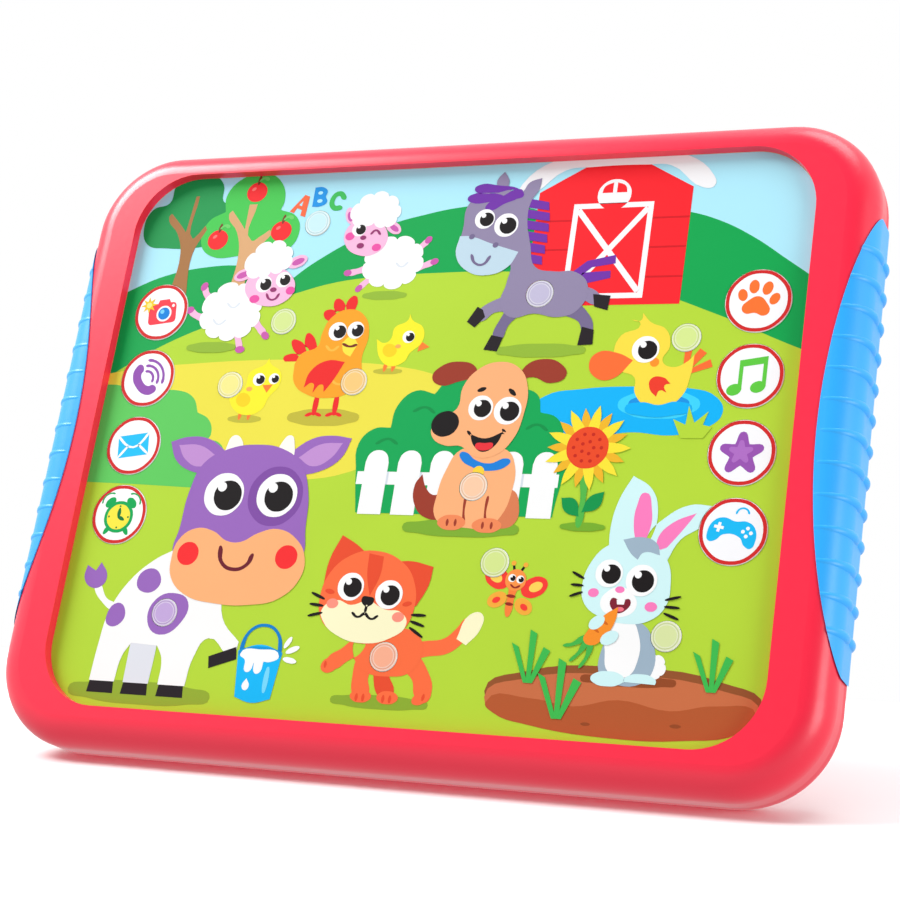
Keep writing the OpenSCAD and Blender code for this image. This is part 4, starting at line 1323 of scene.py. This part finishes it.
cow_head = [
    (
        cow_violet,
        soft(
            (-60, 88.6, 0), (-67.6, 93.4), (-75, 94), (-80.6, 92.4, 0), (-77.4, 86.4), (-70.6, 83),
            (-62, 82.6, 0),
        ),
        soft(
            (-41, 88.6, 0), (-33.6, 93.8), (-27.4, 94.8), (-21, 94, 0), (-23.4, 88), (-30, 83.8),
            (-38, 82.6, 0),
        ),
    ),
    (
        paint(196, 146, 212),
        soft((-64, 88, 0), (-70.4, 91.4), (-77.6, 91.4, 0), (-74.6, 87), (-69, 84.8)),
        soft((-37, 88, 0), (-31, 92), (-23.6, 92.6, 0), (-26.6, 88), (-32, 85.4)),
    ),
    (
        paint(255, 250, 240),
        soft((-61.6, 86, 0), (-61.4, 91), (-59.6, 94.6), (-57, 93.6), (-55.2, 87.4, 0)),
        soft((-44.6, 87.4, 0), (-43.4, 92.4), (-40.8, 94.8), (-39, 91.6), (-38.6, 86.2, 0)),
    ),
    (
        cow_violet,
        soft(
            (-51, 91.8), (-60.4, 90.4), (-68, 85.8), (-71, 77.2), (-71.8, 66), (-72.4, 58), (-62, 50),
            (-51, 48), (-40, 50), (-30.4, 58), (-30.8, 67), (-32, 78), (-36, 86.4), (-42.6, 90.6),
        ),
    ),
    (cow_deep, oval(-42.3, 76.2, 8.8, 9)),
    (
        peach,
        soft(
            (-72.6, 56.8), (-71.4, 62.2), (-66.6, 65.8), (-60.4, 65.2), (-55.4, 62.4), (-50.8, 62.2),
            (-45.6, 65), (-39.6, 66.4), (-33, 63.6), (-29.4, 58.4), (-29.6, 52.4), (-35, 46.2),
            (-44.4, 43.8), (-56, 43.8), (-66, 46), (-71.6, 51),
        ),
    ),
    (paint(250, 44, 48), oval(-67.4, 58.2, 3.5), oval(-35.2, 58.2, 3.5)),
    (
        paint(110, 26, 44),
        band([(-57, 60.4), (-55.8, 56), (-51.6, 54), (-47.6, 55.4), (-46.2, 58.4)], 1.1),
    ),
    *pairs((-59.2, 76.4, 6.5, 0.2), (-41.8, 76.4, 6.5, 0.1)),
]
print_inks("cow_head_print", cow_head, die, film_face, "case", 15)

bucket_blue = paint(7, 188, 252)
bucket = [
    (
        paint(0, 130, 205),
        band([(-44.2, 30.6), (-42.6, 36), (-38, 38.2), (-33.4, 36), (-31.8, 30.6)], 0.9),
    ),
    (
        bucket_blue,
        soft((-45, 30.6, 0), (-43.6, 17.4, 0), (-38, 16), (-32.4, 17.4, 0), (-31, 30.6, 0), (-38, 32.6)),
    ),
    (paint(0, 150, 220), oval(-38, 30, 6.9, 2)),
    (
        INK_WHITE,
        soft(
            (-44.2, 29.6), (-38, 31.2), (-31.9, 29.6), (-34.4, 27.8), (-36.4, 27.8, 0), (-37.2, 24.6),
            (-38.6, 24.4), (-39.4, 27.4, 0), (-40.4, 24.8), (-41.8, 24.8), (-42.4, 28),
        ),
        soft((-40.8, 22.8, 0), (-39.7, 20.6), (-40.8, 19.4), (-41.9, 20.6)),
        oval(-28.4, 28.6, 2.2, 0.8, -10),
        oval(-28, 31.6, 2.2, 0.8, 25),
        oval(-29.8, 33.6, 1.9, 0.7, 60),
    ),
    (paint(120, 220, 255), band([(-34.6, 26), (-34.8, 19.4)], 0.9)),
]
print_inks("bucket_print", bucket, die, film_face, "case", 15)

# Printed cat and butterfly.
# An orange cat with a cream muzzle walks to the left, with a raised paw, under a small butterfly.
cat_orange = paint(255, 112, 64)
cat_cream = paint(255, 250, 206)
cat_dark = paint(236, 78, 44)
cat = [
    (paint(140, 176, 48), oval(0.6, 18.6, 14.6, 1.9)),
    (
        cat_orange,
        band([(6, 32.6), (12, 34), (18, 35.2), (21.6, 38.4), (24.4, 41.8)], 4.4),
        band([(-5, 31), (-6, 25), (-5, 20.6)], 4.8),
        band([(7, 31), (11.6, 26.6), (13.4, 21.6)], 5.0),
    ),
    (cat_cream, soft((20.6, 37.2, 0), (23.4, 44), (27, 44.4), (27, 40), (23.6, 35.6, 0))),
    (cat_dark, band([(0.4, 31), (0.2, 26), (2.6, 21)], 4.6)),
    (
        cat_orange,
        soft(
            (-9, 36.4), (-8.6, 30), (-5, 26.8), (2, 25.8), (8.6, 27.4), (11.2, 32.4), (9.6, 37.4),
            (2, 39.4),
        ),
        band([(-8, 34), (-12, 31), (-15.4, 28.6)], 4.2),
    ),
    (
        cat_orange,
        oval(-16, 28, 2.6, 2.1, 25),
        oval(-5, 20, 3.2, 1.8),
        oval(3, 20, 3.2, 1.8),
        oval(13, 20.6, 3, 1.7, 30),
    ),
    (
        cat_dark,
        *[band([(x, 18.8), (x, 20.4)], 0.6) for x in (-6.2, -4.2, 1.8, 3.8)],
        band([(-17.2, 27.4), (-17.2, 28.8)], 0.6),
        band([(13.4, 20), (13.6, 21.4)], 0.6),
    ),
    (
        cat_dark,
        soft((-22, 50, 0), (-21.4, 58), (-18.6, 65.2, 0), (-13, 62.2), (-8, 58, 0)),
        soft((-5, 56.6, 0), (2.6, 58.4), (10.6, 57, 0), (10, 51.6), (7.2, 45.6, 0)),
    ),
    (
        cat_orange,
        soft(
            (-8, 61), (-15, 59.4), (-20.4, 54.4), (-22.4, 47.6), (-21, 41), (-15.4, 36.6), (-8.6, 34.6),
            (-1, 35.4), (4.6, 39), (6.8, 45), (5.8, 52), (1.4, 57.8),
        ),
    ),
    (
        cat_cream,
        soft(
            (-21.2, 43.4), (-17, 46.4), (-12.4, 45.2), (-7.4, 47.2, 0), (-2, 44.4), (3, 43.8),
            (5.2, 40.6), (1, 36.4), (-7.6, 34.6), (-15.6, 36.6), (-20, 40),
        ),
    ),
    (
        cat_dark,
        soft((-9.4, 60.2, 0), (-4.8, 59.4, 0), (-5, 54), (-7.2, 48, 0), (-9, 54)),
        band([(-20.6, 49), (-18.6, 48.6)], 1.0),
        band([(5.4, 46.4), (3.6, 46)], 1.0),
    ),
    (paint(255, 150, 130), oval(-18.2, 45.4, 1.8, 1.4), oval(2.4, 42.4, 1.8, 1.4)),
    (
        INK_BLACK,
        soft((-9.4, 47.4), (-7.4, 47.8), (-5.6, 47), (-7.6, 45)),
        band([(-7.6, 45.2), (-7.8, 43.2)], 0.5),
        band([(-11.6, 43), (-9.8, 41.9), (-7.9, 43.1)], 0.6),
        band([(-7.7, 43.1), (-5.6, 41.5), (-3.8, 42.4)], 0.6),
        *[
            band([(-21, z), (-25, z + dz)], 0.5)
            for z, dz in ((46.6, 1.6), (44.6, 0.4), (42.6, -1))
        ],
        *[
            band([(6.4, z), (10.4, z + dz)], 0.5)
            for z, dz in ((43.2, 0), (41.4, -1.2), (39.6, -2.4))
        ],
    ),
    *pairs((-13.4, 50.4, 4, 0.15), (-1.4, 48.6, 4.1, 0.1)),
]
print_inks("cat_print", cat, die, film_face, "case", 7)

wing_red = paint(250, 60, 52)
butterfly = [
    (
        INK_BLACK,
        band([(34.6, 56), (34, 58.8)], 0.4),
        band([(36, 56), (37.4, 58.4)], 0.4),
    ),
    (
        wing_red,
        oval(29.8, 54.6, 3.9, 2.8, -30),
        oval(40.8, 52.4, 3.9, 2.8, 25),
    ),
    (
        paint(250, 176, 60),
        oval(30.6, 48.6, 2.9, 2.1, 25),
        oval(38.4, 47, 2.8, 2.1, -35),
        oval(34, 58.9, 0.7),
        oval(37.5, 58.5, 0.7),
    ),
    (
        paint(255, 214, 90),
        oval(29.4, 54.8, 2.0, 1.3, -30),
        oval(41.2, 52.5, 2.0, 1.3, 25),
    ),
    (wing_red, oval(30.4, 48.5, 1.2, 0.8, 25), oval(38.6, 46.8, 1.2, 0.8, -35)),
    (paint(255, 132, 60), band([(35.2, 54), (34.6, 50), (34.2, 44.6)], 2.6, 1.4)),
    (paint(255, 150, 70), oval(35.2, 54.2, 3)),
    *pairs((34.1, 54.7, 1.1), (36.5, 54.4, 1.1)),
    (
        paint(150, 40, 30),
        band([(34, 52.8), (35.2, 52.1), (36.6, 52.6)], 0.4),
        band([(33.4, 49.8), (35.6, 49.6)], 0.5),
        band([(33.3, 47.6), (35.2, 47.4)], 0.5),
    ),
]
print_inks("butterfly_print", butterfly, die, film_face, "case", 7)

# Printed vegetable patch and rabbit.
# A patch of brown soil with blades of grass, and a pale blue rabbit who nibbles a carrot.
soil_brown = paint(205, 113, 70)
patch = [
    (paint(150, 84, 44), oval(68.4, 23.6, 37.6, 8.4)),
    (soil_brown, oval(68.2, 22, 37.2, 7.9)),
    (
        paint(183, 90, 47),
        soft(
            (31.6, 20.6), (44, 22.4), (56, 21), (68, 23.4), (82, 21.4), (94, 23.4), (104.8, 21.6),
            (101, 17.2), (86, 14), (66, 13.4), (44, 15.4), (34, 18),
        ),
    ),
    (paint(150, 74, 36), oval(70, 28.6, 13, 1.6), oval(84, 17.6, 1.5, 0.5), oval(60, 16.6, 1.3, 0.45)),
]
print_inks("soil_print", patch, die, film_face, "case", 7)


def tuft(x, z, high, lean):
    """Three flat topped blades of grass from one root."""
    half = high * 0.075
    blades = []
    for share, top in ((-0.32, 0.72), (0.04, 1.0), (0.36, 0.66)):
        tip = x + high * share + lean
        root = x + share * 2
        up = z + high * top
        blades.append(
            hard((root - half * 0.6, z), (root + half * 0.6, z), (tip + half, up), (tip - half, up + half))
        )
    return blades


tufts = [tuft(42.6, 26.4, 13.4, -0.6), tuft(51.8, 17.4, 15, -0.8), tuft(92.2, 26.8, 13, -0.6)]
grass = [(paint(62, 190, 80), *[blades[i] for blades in tufts]) for i in range(3)]
print_inks("grass_print", grass, die, film_face, "case", 24)

rabbit_pale = paint(212, 248, 250)
rabbit_grey = paint(160, 182, 200)
rabbit_pink = paint(253, 127, 192)
rabbit = [
    (INK_WHITE, cloud([(75.4, 30), (78.4, 30.4), (79.2, 33.4), (76.8, 35.6), (74.4, 34)], 0.3)),
    (
        rabbit_grey,
        soft(
            (66, 45, 0), (72.4, 43.6), (75.8, 38.4), (76.4, 31.6), (73.6, 28), (66, 27.6), (62.4, 29.4),
            (62, 37),
        ),
    ),
    (
        rabbit_pale,
        soft((70.6, 60.6, 0), (70.4, 67.4), (74.6, 72.6), (81.2, 76.4), (87.6, 76.2, 0), (85.2, 71),
             (79.6, 66.8), (76.4, 60.4, 0)),
        soft((60.6, 61, 0), (60, 69.6), (61.4, 77.4), (64.6, 84.2, 0), (70.2, 80.6), (72.6, 74),
             (71.4, 66.6), (68.4, 62, 0)),
    ),
    (
        rabbit_pink,
        soft((73.2, 63.4, 0), (73.6, 67.6), (77, 71.4), (83.2, 74.2, 0), (79.6, 69), (76.2, 64.6, 0)),
        soft((68.2, 64, 0), (66.4, 70), (66.6, 76), (68.4, 79.6), (70.8, 75), (70.6, 68)),
    ),
    (
        INK_WHITE,
        soft((62.6, 44), (62.8, 36), (64.4, 30.6), (69.6, 29.6), (72, 34), (71.4, 41), (68.4, 45)),
    ),
    (rabbit_pale, oval(64.4, 28.8, 4.6, 2), oval(73.2, 28.6, 4.4, 1.9)),
    (
        rabbit_pale,
        soft(
            (66, 66.4), (59.6, 64.4), (55.8, 59.8), (54.2, 53.6), (55.4, 48.6), (60, 45.2), (67, 43.6),
            (73.6, 44.6), (77.6, 48.4), (78.4, 54.6), (76.8, 61), (72.4, 65.2),
        ),
    ),
    (
        rabbit_grey,
        soft(
            (64, 66.4, 0), (66.6, 62.6), (68.6, 61, 0), (70, 63), (74.6, 62.4, 0), (73.4, 65.6),
            (69.4, 67.2),
        ),
    ),
    (
        INK_WHITE,
        soft(
            (61.4, 52), (64.8, 53.4), (68.6, 51.6), (69.8, 48), (66.4, 45.4), (61.6, 46.2), (59.8, 49),
        ),
    ),
    (rabbit_pink, oval(57.6, 51.6, 1.5, 1.2), oval(73.8, 48.4, 1.7, 1.3), oval(64.8, 52.7, 1.3, 0.9)),
    (paint(130, 30, 50), soft((62.8, 50.2), (65.4, 49.8), (68, 50), (66.6, 46.8), (64.2, 46.6))),
    (paint(250, 120, 140), oval(65.4, 47.4, 1.2, 0.6)),
    (INK_WHITE, hard((64.3, 50), (66.6, 50), (66.4, 48.7), (64.5, 48.7))),
    *pairs((61.3, 57, 3.8, 0.15), (70.4, 55.4, 4.3, 0.1)),
    (
        INK_BLACK,
        *[band([(54.4, z), (51.2, z + dz)], 0.45) for z, dz in ((55.4, 1.6), (53.4, 0.2), (51.6, -1.2))],
        *[band([(77.6, z), (81.4, z + dz)], 0.45) for z, dz in ((50.4, 1), (48.6, -0.2), (46.8, -1.4))],
    ),
]
print_inks("rabbit_print", rabbit, die, film_face, "case", 11)

carrot = [
    (
        paint(70, 184, 76),
        band([(57.6, 38.4), (55.6, 35), (53.6, 33)], 1.3, 0.6),
        band([(58.8, 37.6), (58, 34), (56.4, 31.4)], 1.3, 0.6),
        band([(56.8, 39.4), (53.6, 37.4), (51.4, 37)], 1.3, 0.6),
    ),
    (
        paint(252, 146, 40),
        soft((65, 48, 0), (61.4, 45.6), (57.4, 41.2), (56.6, 38.6), (59.2, 37.4), (62, 39.4), (64.6, 44)),
    ),
    (
        paint(214, 104, 24),
        band([(59, 42), (60.4, 41)], 0.4),
        band([(61, 44.2), (62.6, 43.2)], 0.4),
    ),
    (rabbit_pale, oval(59.6, 43.6, 2.4, 1.6, 40), oval(63.6, 39.6, 2.6, 1.7, 30)),
]
print_inks("carrot_print", carrot, die, film_face, "case", 27)

# Round keys.
# Eight white domes in two columns, each printed with a red ring and one icon. Each is a bubble of the
# film that clicks on the membrane under it, so its print moves with it.
key_film = finish_of(
    "key_film", paint(240, 241, 243), paint(234, 235, 238),
    patch=60.0, rough=0.42, rough_swing=0.06, grain=700.0, grain_depth=0.000008,
)
key_names = [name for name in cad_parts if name.startswith("key_")]
finish(key_film, *key_names)


def moved(layers, x, z, turned=0.0):
    """The same inks, turned about their middle and carried to a place on the picture."""
    c, s = math.cos(math.radians(turned)), math.sin(math.radians(turned))
    return [
        (colour, *[[(x + u * c - v * s, z + u * s + v * c, k) for u, v, k in line] for line in lines])
        for colour, *lines in layers
    ]


ring_red = paint(214, 40, 40)
ring_outer = 9
ring_inner = 8
ring = [(ring_red, oval(0, 0, ring_outer), oval(0, 0, ring_inner))]


def arc(x, z, radius, start, end, width):
    """A brush stroke along a part of a circle."""
    steps = 6
    turns = [math.radians(start + (end - start) * i / steps) for i in range(steps + 1)]
    return band([(x + radius * math.cos(t), z + radius * math.sin(t)) for t in turns], width)


def panel(across, high, corner):
    """A rectangle with rounded corners about the middle."""
    a, h = across / 2, high / 2
    return soft(
        (-a + corner, -h, 0), (a - corner, -h, 0), (a - corner * 0.3, -h + corner * 0.3),
        (a, -h + corner, 0), (a, h - corner, 0), (a - corner * 0.3, h - corner * 0.3),
        (a - corner, h, 0), (-a + corner, h, 0), (-a + corner * 0.3, h - corner * 0.3),
        (-a, h - corner, 0), (-a, -h + corner, 0), (-a + corner * 0.3, -h + corner * 0.3),
    )


note_green = paint(96, 206, 66)
camera_red = paint(250, 65, 80)
clock_green = paint(3, 170, 85)
clock_hand = paint(3, 120, 60)
icons = {
    "key_camera": moved(
        [
            (camera_red, panel(9.6, 6.8, 1.2)),
            (camera_red, hard((-1.8, 3.2), (-1.2, 4.6), (2.2, 4.6), (2.8, 3.2))),
            (INK_WHITE, oval(0.6, -0.1, 2.6)),
            (paint(0, 132, 222), oval(0.6, -0.1, 2.0)),
            (paint(120, 210, 255), oval(0, 0.6, 0.7)),
            (INK_WHITE, oval(3.7, 2.2, 0.5)),
            (paint(255, 206, 40), star(-4.8, 3.4, 2.8, 1.3, 8, 90, False)),
            (paint(255, 240, 140), oval(-4.8, 3.4, 0.9)),
        ],
        0.5,
        -0.5,
        7,
    ),
    "key_phone": [
        (
            paint(150, 85, 180),
            soft(
                (-4.8, 3.2), (-3.2, 4.4), (-1.8, 2.6), (-2.4, 1.2), (-1.4, -1.2), (0.8, -2.6),
                (2.4, -2.2), (3.8, -3.6), (2.8, -5), (0.2, -5.4), (-3.4, -3), (-5.2, 0.2),
            ),
            arc(-0.6, -0.4, 2.6, -15, 95, 0.8),
            arc(-0.6, -0.4, 4.4, -15, 95, 0.8),
            arc(-0.6, -0.4, 6.2, -10, 90, 0.8),
        ),
    ],
    "key_letter": moved(
        [
            (paint(30, 196, 250), panel(10.4, 7, 0.5)),
            (
                INK_WHITE,
                band([(-5, 3.2), (0, -0.6), (5, 3.2)], 0.6),
                band([(-5, -3.2), (-1.8, 0)], 0.45),
                band([(5, -3.2), (1.8, 0)], 0.45),
            ),
        ],
        0,
        0,
        8,
    ),
    "key_clock": [
        (
            clock_green,
            oval(-3.6, 3.6, 2.0, 1.3, 42),
            oval(3.6, 3.6, 2.0, 1.3, -42),
            band([(-2.6, -4), (-3.8, -5.8)], 1.1),
            band([(2.6, -4), (3.8, -5.8)], 1.1),
            arc(-3.6, 3.6, 2.9, 75, 185, 0.45),
            arc(3.6, 3.6, 2.9, -5, 105, 0.45),
        ),
        (clock_green, oval(0, -0.8, 4.9)),
        (paint(250, 236, 70), oval(0, -0.8, 3.9)),
        (
            clock_hand,
            band([(0, -0.8), (0, 1.7)], 0.7),
            oval(0, 2.5, 0.3),
            oval(3.3, -0.8, 0.3),
            oval(-3.3, -0.8, 0.3),
            oval(0, -4.1, 0.3),
        ),
        (clock_hand, band([(0, -0.8), (1.8, -1.6)], 0.7)),
    ],
    "key_paw": moved(
        [
            (
                paint(255, 120, 50),
                soft(
                    (0, 0.4), (-2.6, -1.2), (-3.9, -3.6), (-2.6, -5), (0, -4.5), (2.6, -5), (3.9, -3.6),
                    (2.6, -1.2),
                ),
                oval(-4.5, 0.2, 1.3, 1.8, 22),
                oval(-1.9, 3, 1.4, 2, 8),
                oval(1.9, 3, 1.4, 2, -8),
                oval(4.5, 0.2, 1.3, 1.8, -22),
            ),
        ],
        0,
        0.9,
        -8,
    ),
    "key_music": moved(
        [
            (
                note_green,
                oval(-3.4, -3.6, 2.1, 1.6, 20),
                oval(3, -2.8, 2.1, 1.6, 20),
            ),
            (
                note_green,
                hard(
                    (-2.5, -3.4), (-1.4, -3.4), (-1.4, 3), (4, 3.8), (4, -2.6), (5.1, -2.6), (5.1, 6),
                    (-2.5, 4.8),
                ),
            ),
        ],
        -0.6,
        -0.4,
        0,
    ),
    "key_star": [
        (paint(155, 85, 180), star(0, -0.3, 6.2, 3.3, 5)),
        (paint(178, 112, 200), star(-0.2, 0.1, 3.4, 1.8, 5)),
    ],
    "key_gamepad": moved(
        [
            (
                paint(20, 190, 250),
                soft(
                    (-5.6, 1.6), (-3.2, 2.9), (0, 2.4), (3.2, 2.9), (5.6, 1.6), (6.6, -1.8), (5.8, -4),
                    (4, -3.6), (2.2, -1.6), (-2.2, -1.6), (-4, -3.6), (-5.8, -4), (-6.6, -1.8),
                ),
                arc(1.4, 4.6, 1.7, 180, 20, 0.5),
            ),
            (
                INK_WHITE,
                hard((-4.3, 1.4), (-3.5, 1.4), (-3.5, -1.2), (-4.3, -1.2)),
                oval(3.8, 1.2, 0.5),
                oval(3.8, -1, 0.5),
                oval(2.7, 0.1, 0.5),
                oval(4.9, 0.1, 0.5),
            ),
            (INK_WHITE, hard((-5.2, 0.5), (-2.6, 0.5), (-2.6, -0.3), (-5.2, -0.3))),
        ],
        0,
        0.4,
        -10,
    ),
}
for key in key_names:
    low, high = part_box(key)
    place = ((low.x + high.x) * 500, (low.z + high.z) * 500)
    print_inks(key + "_print", moved(ring + icons[key], *place), None, low.y, key + "_button")

# Animal buttons.
# Eleven small bubbles of the same film inside the picture, each printed with two pale rings and a
# pale tint of what lies round it, so that a child finds them.
spot_film = finish_of(
    "spot_film", paint(238, 240, 236), paint(230, 233, 228),
    patch=60.0, rough=0.42, rough_swing=0.06, grain=700.0, grain_depth=0.000008,
)
spot_tints = {
    "spot_abc": (204, 240, 246),
    "spot_sheep": (216, 234, 150),
    "spot_chick": (246, 238, 146),
    "spot_hen": (252, 206, 128),
    "spot_horse": (198, 192, 220),
    "spot_duck": (218, 238, 148),
    "spot_dog": (252, 206, 170),
    "spot_cow": (198, 170, 222),
    "spot_cat": (252, 178, 146),
    "spot_butterfly": (216, 234, 146),
    "spot_rabbit": (220, 232, 168),
}
for spot, tint in spot_tints.items():
    low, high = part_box(spot)
    finish(spot_film, spot)
    rim = [channel * 0.55 + 112 for channel in tint]
    line = [channel * 0.92 for channel in tint]
    rings = [
        (paint(*rim), oval(0, 0, 3.95)),
        (paint(*line), oval(0, 0, 3.55)),
        (paint(*rim), oval(0, 0, 3.2)),
        (paint(*tint), oval(0, 0, 2.9)),
    ]
    place = ((low.x + high.x) * 500, (low.z + high.z) * 500)
    print_inks(spot + "_print", moved(rings, *place), None, low.y, spot + "_button")

bpy.data.objects.remove(die)
